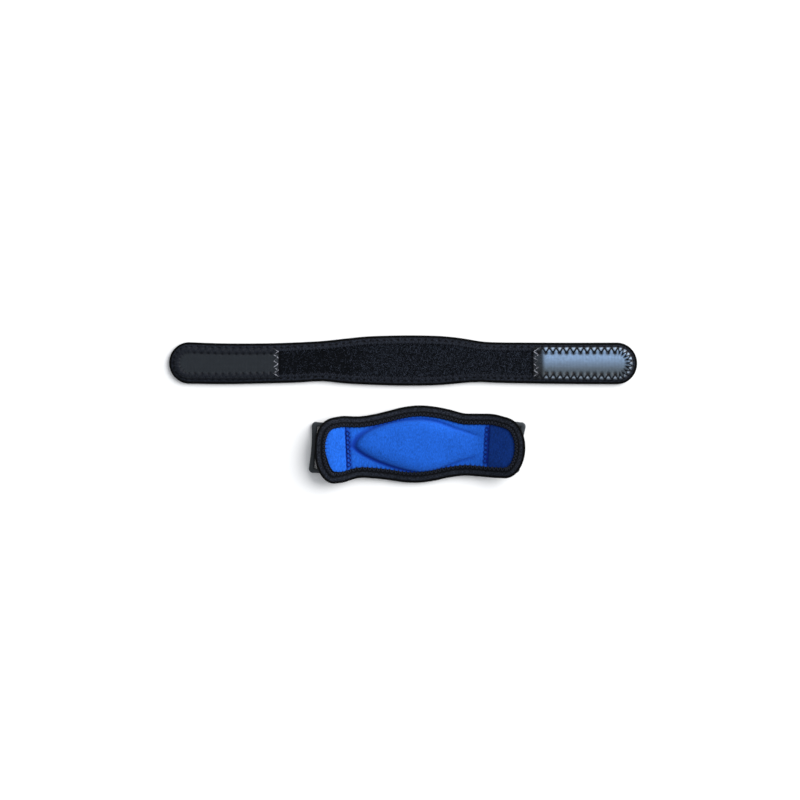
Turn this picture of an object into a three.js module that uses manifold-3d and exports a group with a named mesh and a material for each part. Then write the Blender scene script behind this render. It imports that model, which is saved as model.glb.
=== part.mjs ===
// A tennis elbow strap in its two parts, lying on a table: a strap with a hook patch at each end, and the
// pressure pad whose two moulded loops the strap runs through. The pad's lining faces up, and its two flaps
// rise over the loops. Millimetres, +Z up, +X along the strap, origin on the table under the middle.

import * as THREE from "three";
import { mergeVertices } from "three/addons/utils/BufferGeometryUtils.js";
import Module from "manifold-3d";

const { degToRad, lerp, smoothstep } = THREE.MathUtils;
const wasm = await Module();
wasm.setup();

// Sewing
const fitGap = 0.3; // between layers that are sewn together
const tapeThickness = 0.7; // edge binding, one layer

// Strap
const strapLength = 370;
const strapMiddleWidth = 39.7;
const strapEndWidth = 32.2;
const strapThickness = 2.6; // foam with its pile face, in the field
const strapTapeReach = 6.5; // how far the binding covers each face
const hookMargin = 3.6; // from the strap's edge to the patch's edge
const hookThickness = 1.1;

// A hook patch at each end. length is a share of the strap's length, from the end to the patch's inner edge.
const hookPatches = [
  { name: "left", side: -1, length: 0.234 },
  { name: "right", side: 1, length: 0.222 },
];

// Pad
const padLength = 165.5;
const padWidth = 61.7;
const padEndReach = 16; // length of each rounded end
const padTapeReach = 8.3;
const shellThickness = 2.4; // foam back, in the field
const liningThickness = 1.4;
const rimShare = 0.62; // thickness left where the binding presses the layers
const reliefLength = 99; // raised outline of the pressure insert
const reliefWidth = 40;
const reliefHeight = 5;
const reliefDrop = 1.2; // the relief lies this far to the near side
const insertShare = 0.92; // of the relief's outline
const insertGap = 0.6; // under the domed lining
const seamLift = 3.3; // rise of the pad's back at the seams

// The pad's ends, each with a seam that holds a tab and its loop. seam is a share of half the pad's length
// from its middle, rise is the flap's slope beyond it, and lean turns the loop on the table, both in degrees.
// drop is how far the loop lies to the near side.
const padEnds = [
  { name: "left", side: -1, seam: 0.6852, rise: 12.5, lean: -4, drop: 3.2 },
  { name: "right", side: 1, seam: 0.6369, rise: 19, lean: -8, drop: 1 },
];
const slotClearance = 1.1; // loop's slot over the strap's end, across
const railWidth = 3.4;
const outerBarWidth = 4.2;
const outerBarBow = 0.8; // the outer bar is hollowed by this much
const loopReach = 15.5; // from the inner bar's middle to the outer edge
const loopThickness = 3.2;
const loopCorner = 3.6;
const slotCorner = 1.6;
const loopBevel = 0.6;
const barRadius = 1.6;
const tabThickness = 1;
const foldGap = 0.3; // between the tab's layers, and round the bar
const tabSideGap = 2.6; // between the tab's side and the loop's rail
const tabReach = 14.2; // from the seam to the inner bar's middle
const seamHalf = 3; // the tab runs this far past the seam, on the pad's back

// Lay on the table
const partsGap = 15.6; // between strap and pad, at their middles
const padShift = 13.1; // pad's middle, right of the strap's middle

// Mesh fineness
const rowsPerSection = 2;
const endRows = 6;
const arcSteps = 4;
const barSides = 14;

// The strap's sections. along is a share of half the stretch between the round ends, bulge runs from the end
// width at 0 to the middle width at 1, and sway is a share of the end width.
const strapSections = [
  { along: -1, bulge: 0.08, sway: -0.06 },
  { along: -0.83, bulge: 0, sway: -0.08 },
  { along: -0.64, bulge: -0.07, sway: -0.07 },
  { along: -0.5, bulge: -0.06, sway: -0.048 },
  { along: -0.38, bulge: -0.05, sway: -0.016 },
  { along: -0.27, bulge: 0.43, sway: -0.012 },
  { along: -0.16, bulge: 0.8, sway: 0 },
  { along: 0, bulge: 1, sway: 0 },
  { along: 0.14, bulge: 0.93, sway: 0 },
  { along: 0.22, bulge: 0.7, sway: 0 },
  { along: 0.29, bulge: 0.35, sway: -0.006 },
  { along: 0.365, bulge: 0, sway: -0.03 },
  { along: 0.44, bulge: -0.03, sway: -0.05 },
  { along: 0.6, bulge: 0.02, sway: -0.062 },
  { along: 0.8, bulge: 0.06, sway: -0.07 },
  { along: 1, bulge: 0.1, sway: -0.072 },
];

// The pad's sections. along is a share of half the stretch between the rounded ends, far and near are shares
// of half the width on the two sides of the pad's middle line.
const padSections = [
  { along: -1, far: 0.7, near: 0.998 },
  { along: -0.9, far: 0.73, near: 0.97 },
  { along: -0.72, far: 0.72, near: 0.86 },
  { along: -0.55, far: 0.77, near: 0.87 },
  { along: -0.375, far: 0.86, near: 0.91 },
  { along: -0.185, far: 0.96, near: 0.97 },
  { along: 0, far: 1, near: 0.98 },
  { along: 0.175, far: 0.97, near: 0.93 },
  { along: 0.345, far: 0.9, near: 0.85 },
  { along: 0.525, far: 0.8, near: 0.8 },
  { along: 0.695, far: 0.79, near: 0.82 },
  { along: 0.865, far: 0.78, near: 0.85 },
  { along: 1, far: 0.71, near: 0.86 },
];

// Sizes that follow from those above
const tapeFold = tapeThickness + fitGap; // binding and gap, on each face and round the edge
const layDepth = strapMiddleWidth + partsGap + padWidth;
const strapY = (layDepth - strapMiddleWidth) / 2;
const padY = (padWidth - layDepth) / 2;
const slotLength = strapEndWidth + slotClearance;
const loopHalfWidth = slotLength / 2 + railWidth;
const tabWidth = slotLength - 2 * tabSideGap;
const barHeight = barRadius + foldGap + tabThickness; // the tab's fold rests on the table
const loopTilt = Math.asin((barHeight - loopThickness / 2) / loopReach); // the outer bar rests there too

// A position-only geometry from points and the corner lists of its faces. Points that fall together are
// merged, and faces that collapse are dropped.
function closedGeometry(points, faces) {
  const triangles = faces.flatMap((f) => f.slice(2).map((_, k) => [f[0], f[k + 1], f[k + 2]]));
  const raw = new THREE.BufferGeometry().setFromPoints(points).setIndex(triangles.flat());
  const merged = mergeVertices(raw, 1e-3);
  const index = merged.index.array;
  const kept = [];
  for (let i = 0; i < index.length; i += 3) {
    const [a, b, c] = [index[i], index[i + 1], index[i + 2]];
    if (a !== b && b !== c && c !== a) kept.push(a, b, c);
  }
  return merged.setIndex(kept);
}

// A closed outline, clockwise from above, as a ring of points. Point i on the far side faces point
// 2 * rows - i on the near side, and the first and middle points are the tips.
class Outline {
  constructor(ring) {
    this.ring = ring;
    this.rows = ring.length / 2;
  }

  static fromSides(far, near) {
    return new Outline([...far, ...near.slice(1, -1).reverse()]);
  }

  at(i) {
    const count = this.ring.length;
    return this.ring[(i + count) % count];
  }

  inward(i) {
    const along = this.at(i + 1).clone().sub(this.at(i - 1)).normalize();
    return new THREE.Vector2(along.y, -along.x);
  }

  inset(distance) {
    return new Outline(this.ring.map((p, i) => p.clone().addScaledVector(this.inward(i), distance)));
  }

  // The near and far point of each row, from one tip to the other.
  pairs() {
    return Array.from({ length: this.rows + 1 }, (_, i) => [this.at(-i), this.at(i)]);
  }

  distanceTo(p) {
    const distances = this.ring.map((a, i) => {
      const edge = this.at(i + 1).clone().sub(a);
      const share = THREE.MathUtils.clamp(p.clone().sub(a).dot(edge) / edge.lengthSq(), 0, 1);
      return a.clone().addScaledVector(edge, share).distanceTo(p);
    });
    return Math.min(...distances);
  }
}

// An outline that follows smooth curves through its sections between two half-elliptical ends. Each side runs
// on into the ellipse with its own slope, which fades out towards the tip.
function sectionOutline(sections, straightHalf, endReach) {
  const body = (side) =>
    new THREE.SplineCurve(sections.map((s) => new THREE.Vector2(s.along * straightHalf, s[side]))).getPoints(
      (sections.length - 1) * rowsPerSection,
    );
  const [far, near] = [body("far"), body("near")];
  const end = (i, sign) => {
    const middle = (far.at(i).y + near.at(i).y) / 2;
    const half = (far.at(i).y - near.at(i).y) / 2;
    const slope = (points) => {
      const run = points.at(i).clone().sub(points.at(i - sign));
      return (sign * run.y) / run.x;
    };
    return Array.from({ length: endRows }, (_, k) => {
      const turn = (k / endRows) * (Math.PI / 2);
      const out = endReach * Math.cos(turn);
      const fade = out * (1 - Math.cos(turn)) ** 2;
      const place = (points, across) =>
        new THREE.Vector2(points.at(i).x + sign * out, middle + across + slope(points) * fade);
      return [place(far, half * Math.sin(turn)), place(near, -half * Math.sin(turn))];
    });
  };
  const [left, right] = [end(0, -1), end(-1, 1).reverse()];
  const side = (k, points) => [...left.map((r) => r[k]), ...points, ...right.map((r) => r[k])];
  return Outline.fromSides(side(0, far), side(1, near));
}

// A closed sheet between two heights that are functions of the place. In plan it is banded from each outline
// to the next one inside it, and the last is filled with a grid.
function sheetGeometry(outlines, columns, lower, upper) {
  const rim = outlines[0];
  const core = outlines.at(-1);
  const grid = core
    .pairs()
    .map(([near, far]) =>
      Array.from({ length: columns + 1 }, (_, j) =>
        near.clone().lerp(far, (1 - Math.cos((Math.PI * j) / columns)) / 2),
      ),
    );
  const bands = outlines.slice(1).flatMap((inner, k) => {
    const outer = outlines[k];
    return outer.ring.map((_, i) => [outer.at(i + 1), outer.at(i), inner.at(i), inner.at(i + 1)]);
  });
  const cells = grid.slice(1).flatMap((row, i) =>
    row.slice(1).map((_, j) => [grid[i][j], row[j], row[j + 1], grid[i][j + 1]]),
  );
  const raise = (p, height) => new THREE.Vector3(p.x, p.y, height(p));
  const covered = [...bands, ...cells];
  const faces = [
    ...covered.map((cell) => cell.map((p) => raise(p, upper))),
    ...covered.map(([a, b, c, d]) => [a, d, c, b].map((p) => raise(p, lower))),
    ...rim.ring.map((p, i) => {
      const next = rim.at(i + 1);
      return [raise(p, upper), raise(next, upper), raise(next, lower), raise(p, lower)];
    }),
  ];
  return closedGeometry(faces.flat(), faces.map((face, i) => face.map((_, k) => i * face.length + k)));
}

// The outlines of layers under a binding: their rim, and the tape's middle and inner edge.
function underTape(outline, reach) {
  return [tapeFold, (reach + tapeFold) / 2, reach].map((distance) => outline.inset(distance));
}

// The binding: a tape folded round the edge of the layers between two heights. The profile runs from the
// inner edge over the upper face, round the outside, back under the lower face and along the inside.
function tapeGeometry(outline, reach, lower, upper) {
  const overEdge = (share) => {
    const turn = share * Math.PI;
    return {
      inset: tapeFold * (1 - Math.sin(turn)),
      height: (p) => lerp(lower(p) - tapeFold, upper(p) + tapeFold, (1 + Math.cos(turn)) / 2),
    };
  };
  const profile = [
    { inset: reach, height: (p) => upper(p) + tapeFold },
    { inset: (reach + tapeFold) / 2, height: (p) => upper(p) + tapeFold },
    ...Array.from({ length: arcSteps + 1 }, (_, k) => overEdge(k / arcSteps)),
    { inset: reach, height: (p) => lower(p) - tapeFold },
    { inset: reach, height: (p) => lower(p) - fitGap },
    { inset: tapeThickness, height: (p) => lower(p) - fitGap },
    { inset: tapeThickness, height: (p) => upper(p) + fitGap },
    { inset: (reach + tapeFold) / 2, height: (p) => upper(p) + fitGap },
    { inset: reach, height: (p) => upper(p) + fitGap },
  ];
  const sides = profile.length;
  const count = outline.ring.length;
  const points = outline.ring.flatMap((edge, i) =>
    profile.map(({ inset, height }) => {
      const p = edge.clone().addScaledVector(outline.inward(i), inset);
      return new THREE.Vector3(p.x, p.y, height(p));
    }),
  );
  const corner = (i, k) => (i % count) * sides + (k % sides);
  const faces = outline.ring.flatMap((_, i) =>
    profile.map((_, k) => [corner(i, k + 1), corner(i, k), corner(i + 1, k), corner(i + 1, k + 1)]),
  );
  return closedGeometry(points, faces);
}

function solidOf(geometry) {
  const bare = geometry.clone().deleteAttribute("normal").deleteAttribute("uv");
  const merged = mergeVertices(bare, 1e-4);
  return new wasm.Manifold(
    new wasm.Mesh({
      numProp: 3,
      vertProperties: merged.attributes.position.array,
      triVerts: new Uint32Array(merged.index.array),
    }),
  );
}

function geometryOf(solid) {
  const mesh = solid.getMesh();
  return new THREE.BufferGeometry()
    .setAttribute("position", new THREE.BufferAttribute(mesh.vertProperties, mesh.numProp))
    .setIndex(new THREE.BufferAttribute(mesh.triVerts, 1));
}

const material = (color, roughness) => new THREE.MeshStandardMaterial({ color, roughness, metalness: 0 });
const pile = material(0x16191e, 0.95);
const tapeCloth = material(0x23272e, 0.85);
const hookPlastic = material(0x3a4048, 0.35);
const foam = material(0x191b1f, 0.9);
const blueCloth = material(0x1f62d6, 0.8);
const gel = material(0xd8d8d2, 0.5);
const webbing = material(0x1b1d22, 0.85);
const loopPlastic = material(0x24282b, 0.4);

function part(name, geometry, finish) {
  const mesh = new THREE.Mesh(geometry, finish);
  mesh.name = name;
  return mesh;
}

// The strap lies flat, its pile and hooks up.
function makeStrap() {
  const group = new THREE.Group();
  group.position.set(0, strapY, 0);
  const endRadius = strapEndWidth / 2;
  const halfWidth = (s) => lerp(strapEndWidth, strapMiddleWidth, s.bulge) / 2;
  const sections = strapSections.map((s) => ({
    along: s.along,
    far: s.sway * strapEndWidth + halfWidth(s),
    near: s.sway * strapEndWidth - halfWidth(s),
  }));
  const outline = sectionOutline(sections, strapLength / 2 - endRadius, endRadius);
  const back = () => tapeFold;
  const face = (p) => {
    const puff = smoothstep(outline.distanceTo(p), tapeFold, strapTapeReach + tapeFold);
    return tapeFold + strapThickness * lerp(rimShare, 1, puff);
  };
  const inner = underTape(outline, strapTapeReach);
  group.add(part("strap_core", sheetGeometry(inner, 4, back, face), pile));
  group.add(part("strap_binding", tapeGeometry(outline, strapTapeReach, back, face), tapeCloth));

  // Over the binding a patch lies on the tape, and inside it on the pile. Both are cut from one layer.
  const hookRings = [hookMargin, strapTapeReach + fitGap, strapTapeReach + hookMargin];
  const hookBack = (p) => {
    const inside = smoothstep(outline.distanceTo(p), hookRings[1], hookRings[2]);
    return face(p) + fitGap + tapeFold * (1 - inside);
  };
  const hookFace = (p) => hookBack(p) + hookThickness;
  const hookOutlines = hookRings.map((distance) => outline.inset(distance));
  const layer = solidOf(sheetGeometry(hookOutlines, 4, hookBack, hookFace));
  for (const { name, side, length } of hookPatches) {
    const end = new THREE.BoxGeometry(length * strapLength, strapMiddleWidth, strapMiddleWidth);
    const patch = layer.intersect(solidOf(end.translate((side * (1 - length) * strapLength) / 2, 0, 0)));
    group.add(part(`hook_patch_${name}`, geometryOf(patch), hookPlastic));
  }
  return group;
}

// How far an end's seam lies from the pad's middle.
const seamAt = ({ seam }) => (seam * padLength) / 2;

// Height of the pad's back over the table, before the binding: a shallow dish between the seams, and a
// straight flap beyond each.
function padBack(x) {
  const end = padEnds.find(({ side }) => side === (x < 0 ? -1 : 1));
  const seamX = seamAt(end);
  const beyond = Math.max(Math.abs(x) - seamX, 0);
  const share = Math.min(Math.abs(x) / seamX, 1);
  return tapeFold + seamLift * share ** 2 + beyond * Math.tan(degToRad(end.rise));
}

// The relief's outline is a pointed ellipse. Its gauge is 0 in the middle and 1 on the outline.
const reliefPower = 1.6;
function reliefGauge(p) {
  const along = Math.abs(p.x / (reliefLength / 2)) ** reliefPower;
  const across = Math.abs((p.y + reliefDrop) / (reliefWidth / 2)) ** reliefPower;
  return (along + across) ** (1 / reliefPower);
}

function reliefRise(p) {
  const gauge = Math.min(reliefGauge(p), 1);
  return reliefHeight * (1 - gauge ** 3) ** 0.7;
}

function reliefOutline(share) {
  const steps = 16;
  const side = (sign) =>
    Array.from({ length: steps + 1 }, (_, i) => {
      const along = -Math.cos((Math.PI * i) / steps);
      const across = (1 - Math.abs(along) ** reliefPower) ** (1 / reliefPower);
      return new THREE.Vector2(
        (share * along * reliefLength) / 2,
        (sign * share * across * reliefWidth) / 2 - reliefDrop,
      );
    });
  return Outline.fromSides(side(1), side(-1));
}

// The pad: foam back, pressure insert, blue lining over it, and the binding round both layers.
function makePad() {
  const group = new THREE.Group();
  const half = padWidth / 2;
  const sections = padSections.map((s) => ({ along: s.along, far: s.far * half, near: -s.near * half }));
  const outline = sectionOutline(sections, padLength / 2 - padEndReach, padEndReach);
  const squeeze = (p) =>
    lerp(rimShare, 1, smoothstep(outline.distanceTo(p), tapeFold, padTapeReach + tapeFold));
  const back = (p) => padBack(p.x);
  const shellFace = (p) => back(p) + shellThickness * squeeze(p);
  const liningBack = (p) => shellFace(p) + fitGap + reliefRise(p);
  const face = (p) => liningBack(p) + liningThickness * squeeze(p);
  const inner = underTape(outline, padTapeReach);
  group.add(part("pad_shell", sheetGeometry(inner, 4, back, shellFace), foam));
  group.add(part("pad_lining", sheetGeometry(inner, 8, liningBack, face), blueCloth));
  group.add(part("pad_binding", tapeGeometry(outline, padTapeReach, back, face), tapeCloth));
  const insertBack = (p) => shellFace(p) + fitGap;
  const insertFace = (p) => liningBack(p) - insertGap;
  const insertRim = [reliefOutline(insertShare)];
  group.add(part("pressure_insert", sheetGeometry(insertRim, 8, insertBack, insertFace), gel));
  return group;
}

// The loop lies in its own plane, its inner bar along Y through the origin and its slot towards +X.
function loopGeometry() {
  const w = loopHalfWidth;
  const slotHalf = slotLength / 2;
  const slotEnd = loopReach - outerBarWidth;
  const frame = new THREE.Shape();
  frame.moveTo(0, -w);
  frame.absarc(loopReach - loopCorner, loopCorner - w, loopCorner, -Math.PI / 2, 0);
  frame.quadraticCurveTo(loopReach - 2 * outerBarBow, 0, loopReach, w - loopCorner);
  frame.absarc(loopReach - loopCorner, w - loopCorner, loopCorner, 0, Math.PI / 2);
  frame.lineTo(0, w);
  frame.lineTo(0, slotHalf);
  frame.absarc(slotEnd - slotCorner, slotHalf - slotCorner, slotCorner, Math.PI / 2, 0, true);
  frame.absarc(slotEnd - slotCorner, slotCorner - slotHalf, slotCorner, 0, -Math.PI / 2, true);
  frame.lineTo(0, -slotHalf);
  const plate = new THREE.ExtrudeGeometry(frame, {
    depth: loopThickness - 2 * loopBevel,
    bevelThickness: loopBevel,
    bevelSize: loopBevel,
    bevelOffset: -loopBevel,
    bevelSegments: 2,
    curveSegments: 5,
  }).translate(0, 0, loopBevel - loopThickness / 2);
  const bar = new THREE.CylinderGeometry(barRadius, barRadius, 2 * w, barSides);
  return geometryOf(solidOf(plate).add(solidOf(bar)));
}

// Both edges of a strip of the given thickness along a line of points, as one closed shape.
function stripShape(line, thickness) {
  const edge = (sign) =>
    line.map((p, i) => {
      const along = line[Math.min(i + 1, line.length - 1)].clone().sub(line[Math.max(i - 1, 0)]);
      const across = new THREE.Vector2(-along.y, along.x).normalize();
      return p.clone().addScaledVector(across, (sign * thickness) / 2);
    });
  return new THREE.Shape([...edge(-1), ...edge(1).reverse()]);
}

// The tab is one strip of webbing, folded round the loop's inner bar, with both ends under the seam. It is
// drawn from the bar's middle, +X towards the loop.
function tabGeometry(end) {
  const { side, rise, lean } = end;
  const turned = Math.sin(Math.abs(degToRad(lean))) * (tabWidth / 2);
  const drop = fitGap + turned * Math.tan(degToRad(rise)); // clear of the pad's back at both edges
  const backAt = (x) => padBack(side * (seamAt(end) + tabReach + x * Math.cos(degToRad(lean))));
  const upperAt = (x) => backAt(x) - drop - tabThickness / 2 - barHeight;
  const seamSpots = [-tabReach - seamHalf, -tabReach, seamHalf / 2 - tabReach];
  const upper = seamSpots.map((x) => new THREE.Vector2(x, upperAt(x)));
  const lower = upper.map((p) => new THREE.Vector2(p.x, p.y - tabThickness - foldGap)).reverse();
  const radius = barRadius + foldGap + tabThickness / 2;
  const touch = (p) => Math.acos(radius / p.length()); // from a point's bearing to where its tangent touches
  const start = upper.at(-1).angle() - touch(upper.at(-1));
  const finish = lower[0].angle() + touch(lower[0]) - 2 * Math.PI;
  const fold = Array.from({ length: barSides + 1 }, (_, k) => {
    const turn = lerp(start, finish, k / barSides);
    return new THREE.Vector2(radius * Math.cos(turn), radius * Math.sin(turn));
  });
  return new THREE.ExtrudeGeometry(stripShape([...upper, ...fold, ...lower], tabThickness), {
    depth: tabWidth,
    bevelEnabled: false,
  })
    .translate(0, 0, -tabWidth / 2)
    .rotateX(Math.PI / 2);
}

// One end's tab and loop, turned together about the loop's inner bar.
function makeLoopEnd(end) {
  const group = new THREE.Group();
  group.position.set(end.side * (seamAt(end) + tabReach), -end.drop, barHeight);
  group.rotation.z = (end.side < 0 ? Math.PI : 0) + degToRad(end.lean);
  group.add(part(`tab_${end.name}`, tabGeometry(end), webbing));
  const loop = part(`loop_${end.name}`, loopGeometry(), loopPlastic);
  loop.rotation.y = loopTilt;
  group.add(loop);
  return group;
}

const padParts = new THREE.Group();
padParts.position.set(padShift, padY, 0);
padParts.add(makePad(), ...padEnds.map(makeLoopEnd));

const elbowStrap = new THREE.Group();
elbowStrap.add(makeStrap(), padParts);
export default elbowStrap;
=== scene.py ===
"""Looks of a tennis elbow strap and its pressure pad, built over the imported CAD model.

Every surface is worked out with numpy from the sizes in the property groups, in metres, in the CAD's frame.
"""

import math

import bmesh
import bpy
import numpy as np
from bpy.props import FloatProperty, FloatVectorProperty, IntProperty, PointerProperty
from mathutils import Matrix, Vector


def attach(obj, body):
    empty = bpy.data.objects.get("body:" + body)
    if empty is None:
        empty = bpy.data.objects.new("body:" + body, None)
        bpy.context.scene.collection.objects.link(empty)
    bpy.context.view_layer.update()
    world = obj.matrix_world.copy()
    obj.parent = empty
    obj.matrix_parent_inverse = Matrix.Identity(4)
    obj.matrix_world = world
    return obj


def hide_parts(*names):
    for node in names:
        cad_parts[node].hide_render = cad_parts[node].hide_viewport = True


bl_info = {
    "name": "Elbow strap looks",
    "version": (1, 0, 0),
    "blender": (4, 5, 0),
    "location": "3D View > Sidebar > Elbow strap",
    "description": "Builds the cloth, stitches, hooks and loops of a tennis elbow strap over its CAD model",
    "category": "Object",
}

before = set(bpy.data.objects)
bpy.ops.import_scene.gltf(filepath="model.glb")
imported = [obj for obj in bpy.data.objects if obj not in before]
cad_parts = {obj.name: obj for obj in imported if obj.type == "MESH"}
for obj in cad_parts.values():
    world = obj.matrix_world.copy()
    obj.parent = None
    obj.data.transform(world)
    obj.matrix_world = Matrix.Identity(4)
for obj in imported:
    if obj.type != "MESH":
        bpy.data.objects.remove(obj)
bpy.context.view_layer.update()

MM = 0.001
TAU = 2 * math.pi
ROOT = "strap_and_pad"

# The strap's sections, as the CAD has them: along is a share of half the stretch between the round ends, bulge
# runs from the end width to the middle width, and sway is a share of the end width.
STRAP_SECTIONS = np.array(
    [
        (-1, 0.08, -0.06),
        (-0.83, 0, -0.08),
        (-0.64, -0.07, -0.07),
        (-0.5, -0.06, -0.048),
        (-0.38, -0.05, -0.016),
        (-0.27, 0.43, -0.012),
        (-0.16, 0.8, 0),
        (0, 1, 0),
        (0.14, 0.93, 0),
        (0.22, 0.7, 0),
        (0.29, 0.35, -0.006),
        (0.365, 0, -0.03),
        (0.44, -0.03, -0.05),
        (0.6, 0.02, -0.062),
        (0.8, 0.06, -0.07),
        (1, 0.1, -0.072),
    ],
    dtype=[("along", float), ("bulge", float), ("sway", float)],
)

# The pad's sections: far and near are shares of half the pad's width.
PAD_SECTIONS = np.array(
    [
        (-1, 0.7, 0.998),
        (-0.9, 0.73, 0.97),
        (-0.72, 0.72, 0.86),
        (-0.55, 0.77, 0.87),
        (-0.375, 0.86, 0.91),
        (-0.185, 0.96, 0.97),
        (0, 1, 0.98),
        (0.175, 0.97, 0.93),
        (0.345, 0.9, 0.85),
        (0.525, 0.8, 0.8),
        (0.695, 0.79, 0.82),
        (0.865, 0.78, 0.85),
        (1, 0.71, 0.86),
    ],
    dtype=[("along", float), ("far", float), ("near", float)],
)

# The strap's hook patches. Length is a share of the strap's length, and marks is how dark the painted shade is
# where the stitches press the film. In mm, hole is the radius of the needle holes and their painted shade, worn how
# far from its inner edge the film is wholly dull, fade how far on that dulling dies away, and border how far in
# its border's painted shade or painted highlight reaches.
HOOK_ENDS = (
    {"name": "left", "side": -1, "length": 0.234, "marks": 0.1, "hole": 1.1, "worn": -2, "fade": 3, "border": 7.6},
    {"name": "right", "side": 1, "length": 0.222, "marks": 1.5, "hole": 1.75, "worn": 3.6, "fade": 7, "border": 5},
)

# The pad's ends. Seam is a share of half the pad's length. Rise of the flap, lean of the loop and slant of the seam
# are in degrees. In mm, drop is how far the loop lies to the near side, seam_y how far the seam's middle lies to the
# far side, and reach is from the loop's inner bar to its outer edge.
PAD_ENDS = (
    {
        "name": "left",
        "side": -1,
        "seam": 0.6852,
        "rise": 12.5,
        "lean": -4,
        "drop": 3.2,
        "slant": 2.4,
        "seam_y": -3.3,
        "reach": 15.6,
    },
    {
        "name": "right",
        "side": 1,
        "seam": 0.6369,
        "rise": 19,
        "lean": -8,
        "drop": 1,
        "slant": -3.2,
        "seam_y": -0.4,
        "reach": 14.7,
    },
)


def size(name, description, default):
    """A size that a user may change, in metres."""
    return FloatProperty(name=name, description=description, default=default, unit="LENGTH", precision=5)


def colour(name, description, *srgb):
    """A colour, from its 0 to 255 values as a screen shows them."""
    shares = np.array(srgb) / 255
    linear = np.where(shares > 0.04045, ((shares + 0.055) / 1.055) ** 2.4, shares / 12.92)
    return FloatVectorProperty(
        name=name,
        description=description,
        default=(*linear.tolist(), 1),
        subtype="COLOR",
        size=4,
        min=0,
        max=1,
    )


class StrapSizes(bpy.types.PropertyGroup):
    """Sizes of the strap with its binding and hook patches."""

    length: size("Length", "Strap from end to end", 370 * MM)
    end_width: size("End width", "Width at the round ends", 32.2 * MM)
    middle_width: size("Middle width", "Width at the middle", 39.7 * MM)
    thickness: size("Thickness", "Foam with its pile face", 2.6 * MM)
    tape_reach: size("Binding reach", "How far the binding covers each face", 6.5 * MM)
    hook_margin: size("Hook margin", "From the strap's edge to a hook patch", 3.6 * MM)
    hook_height: size("Hook height", "Height of the moulded hooks", 0.5 * MM)
    hook_pitch: size("Hook pitch", "Distance between hooks", 1.15 * MM)
    fibres: IntProperty(name="Fibres", description="Loose fibres on the pile", default=3600, min=0)


class PadSizes(bpy.types.PropertyGroup):
    """Sizes of the pressure pad."""

    length: size("Length", "Pad from flap to flap", 165.5 * MM)
    width: size("Width", "Widest part", 61.7 * MM)
    end_reach: size("End reach", "Length of each rounded end", 16 * MM)
    tape_reach: size("Binding reach", "How far the binding covers each face", 8.3 * MM)
    shell: size("Back thickness", "Foam back", 2.4 * MM)
    lining: size("Lining thickness", "Blue lining", 1.4 * MM)
    relief_length: size("Relief length", "Outline of the pressure insert", 101 * MM)
    relief_width: size("Relief width", "Outline of the pressure insert", 41 * MM)
    relief_height: size("Relief height", "Rise of the lining over the insert", 5 * MM)
    relief_drop: size("Relief drop", "How far the relief lies to the near side", 1.2 * MM)
    groove_depth: size("Groove depth", "Groove round the relief", 1.1 * MM)
    seam_lift: size("Seam lift", "Rise of the pad's back at the seams", 3.3 * MM)


class LoopSizes(bpy.types.PropertyGroup):
    """Sizes of the moulded loops and the tabs that hold them."""

    slot_length: size("Slot length", "Room for the strap's end", 33.3 * MM)
    rail: size("Rail width", "Side rails", 3.4 * MM)
    outer_bar: size("Outer bar width", "Bar at the loop's outer end", 4.2 * MM)
    thickness: size("Thickness", "Of the moulding", 3.2 * MM)
    bow: size("Bow", "Hollow of the outer bar", 0.8 * MM)
    corner: size("Corner", "Outer corner radius", 3.6 * MM)
    bar_radius: size("Inner bar radius", "The bar inside the tab", 1.6 * MM)
    tab_thickness: size("Tab thickness", "One layer of webbing", 1 * MM)
    tab_width: size("Tab width", "Across the webbing", 28.1 * MM)
    tab_reach: size("Tab reach", "From the seam to the inner bar", 14.2 * MM)


class StitchSizes(bpy.types.PropertyGroup):
    """Sizes of the stitching."""

    strap_pitch: size("Strap pitch", "Zigzag round the strap, per stitch pair", 5.45 * MM)
    strap_outer: size("Strap outer inset", "Outer needle points from the edge", 3.8 * MM)
    strap_inner: size("Strap inner inset", "Inner needle points from the edge", 8.2 * MM)
    pad_pitch: size("Pad pitch", "Zigzag round the pad, per stitch pair", 3.4 * MM)
    pad_outer: size("Pad outer inset", "Outer needle points from the edge", 5.6 * MM)
    pad_inner: size("Pad inner inset", "Inner needle points from the edge", 8.9 * MM)
    seam_pitch: size("Seam pitch", "Double zigzag of the seams", 3.5 * MM)
    seam_width: size("Seam width", "Across the double zigzag", 3.7 * MM)
    thread: size("Thread radius", "Sewing thread", 0.28 * MM)


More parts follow.
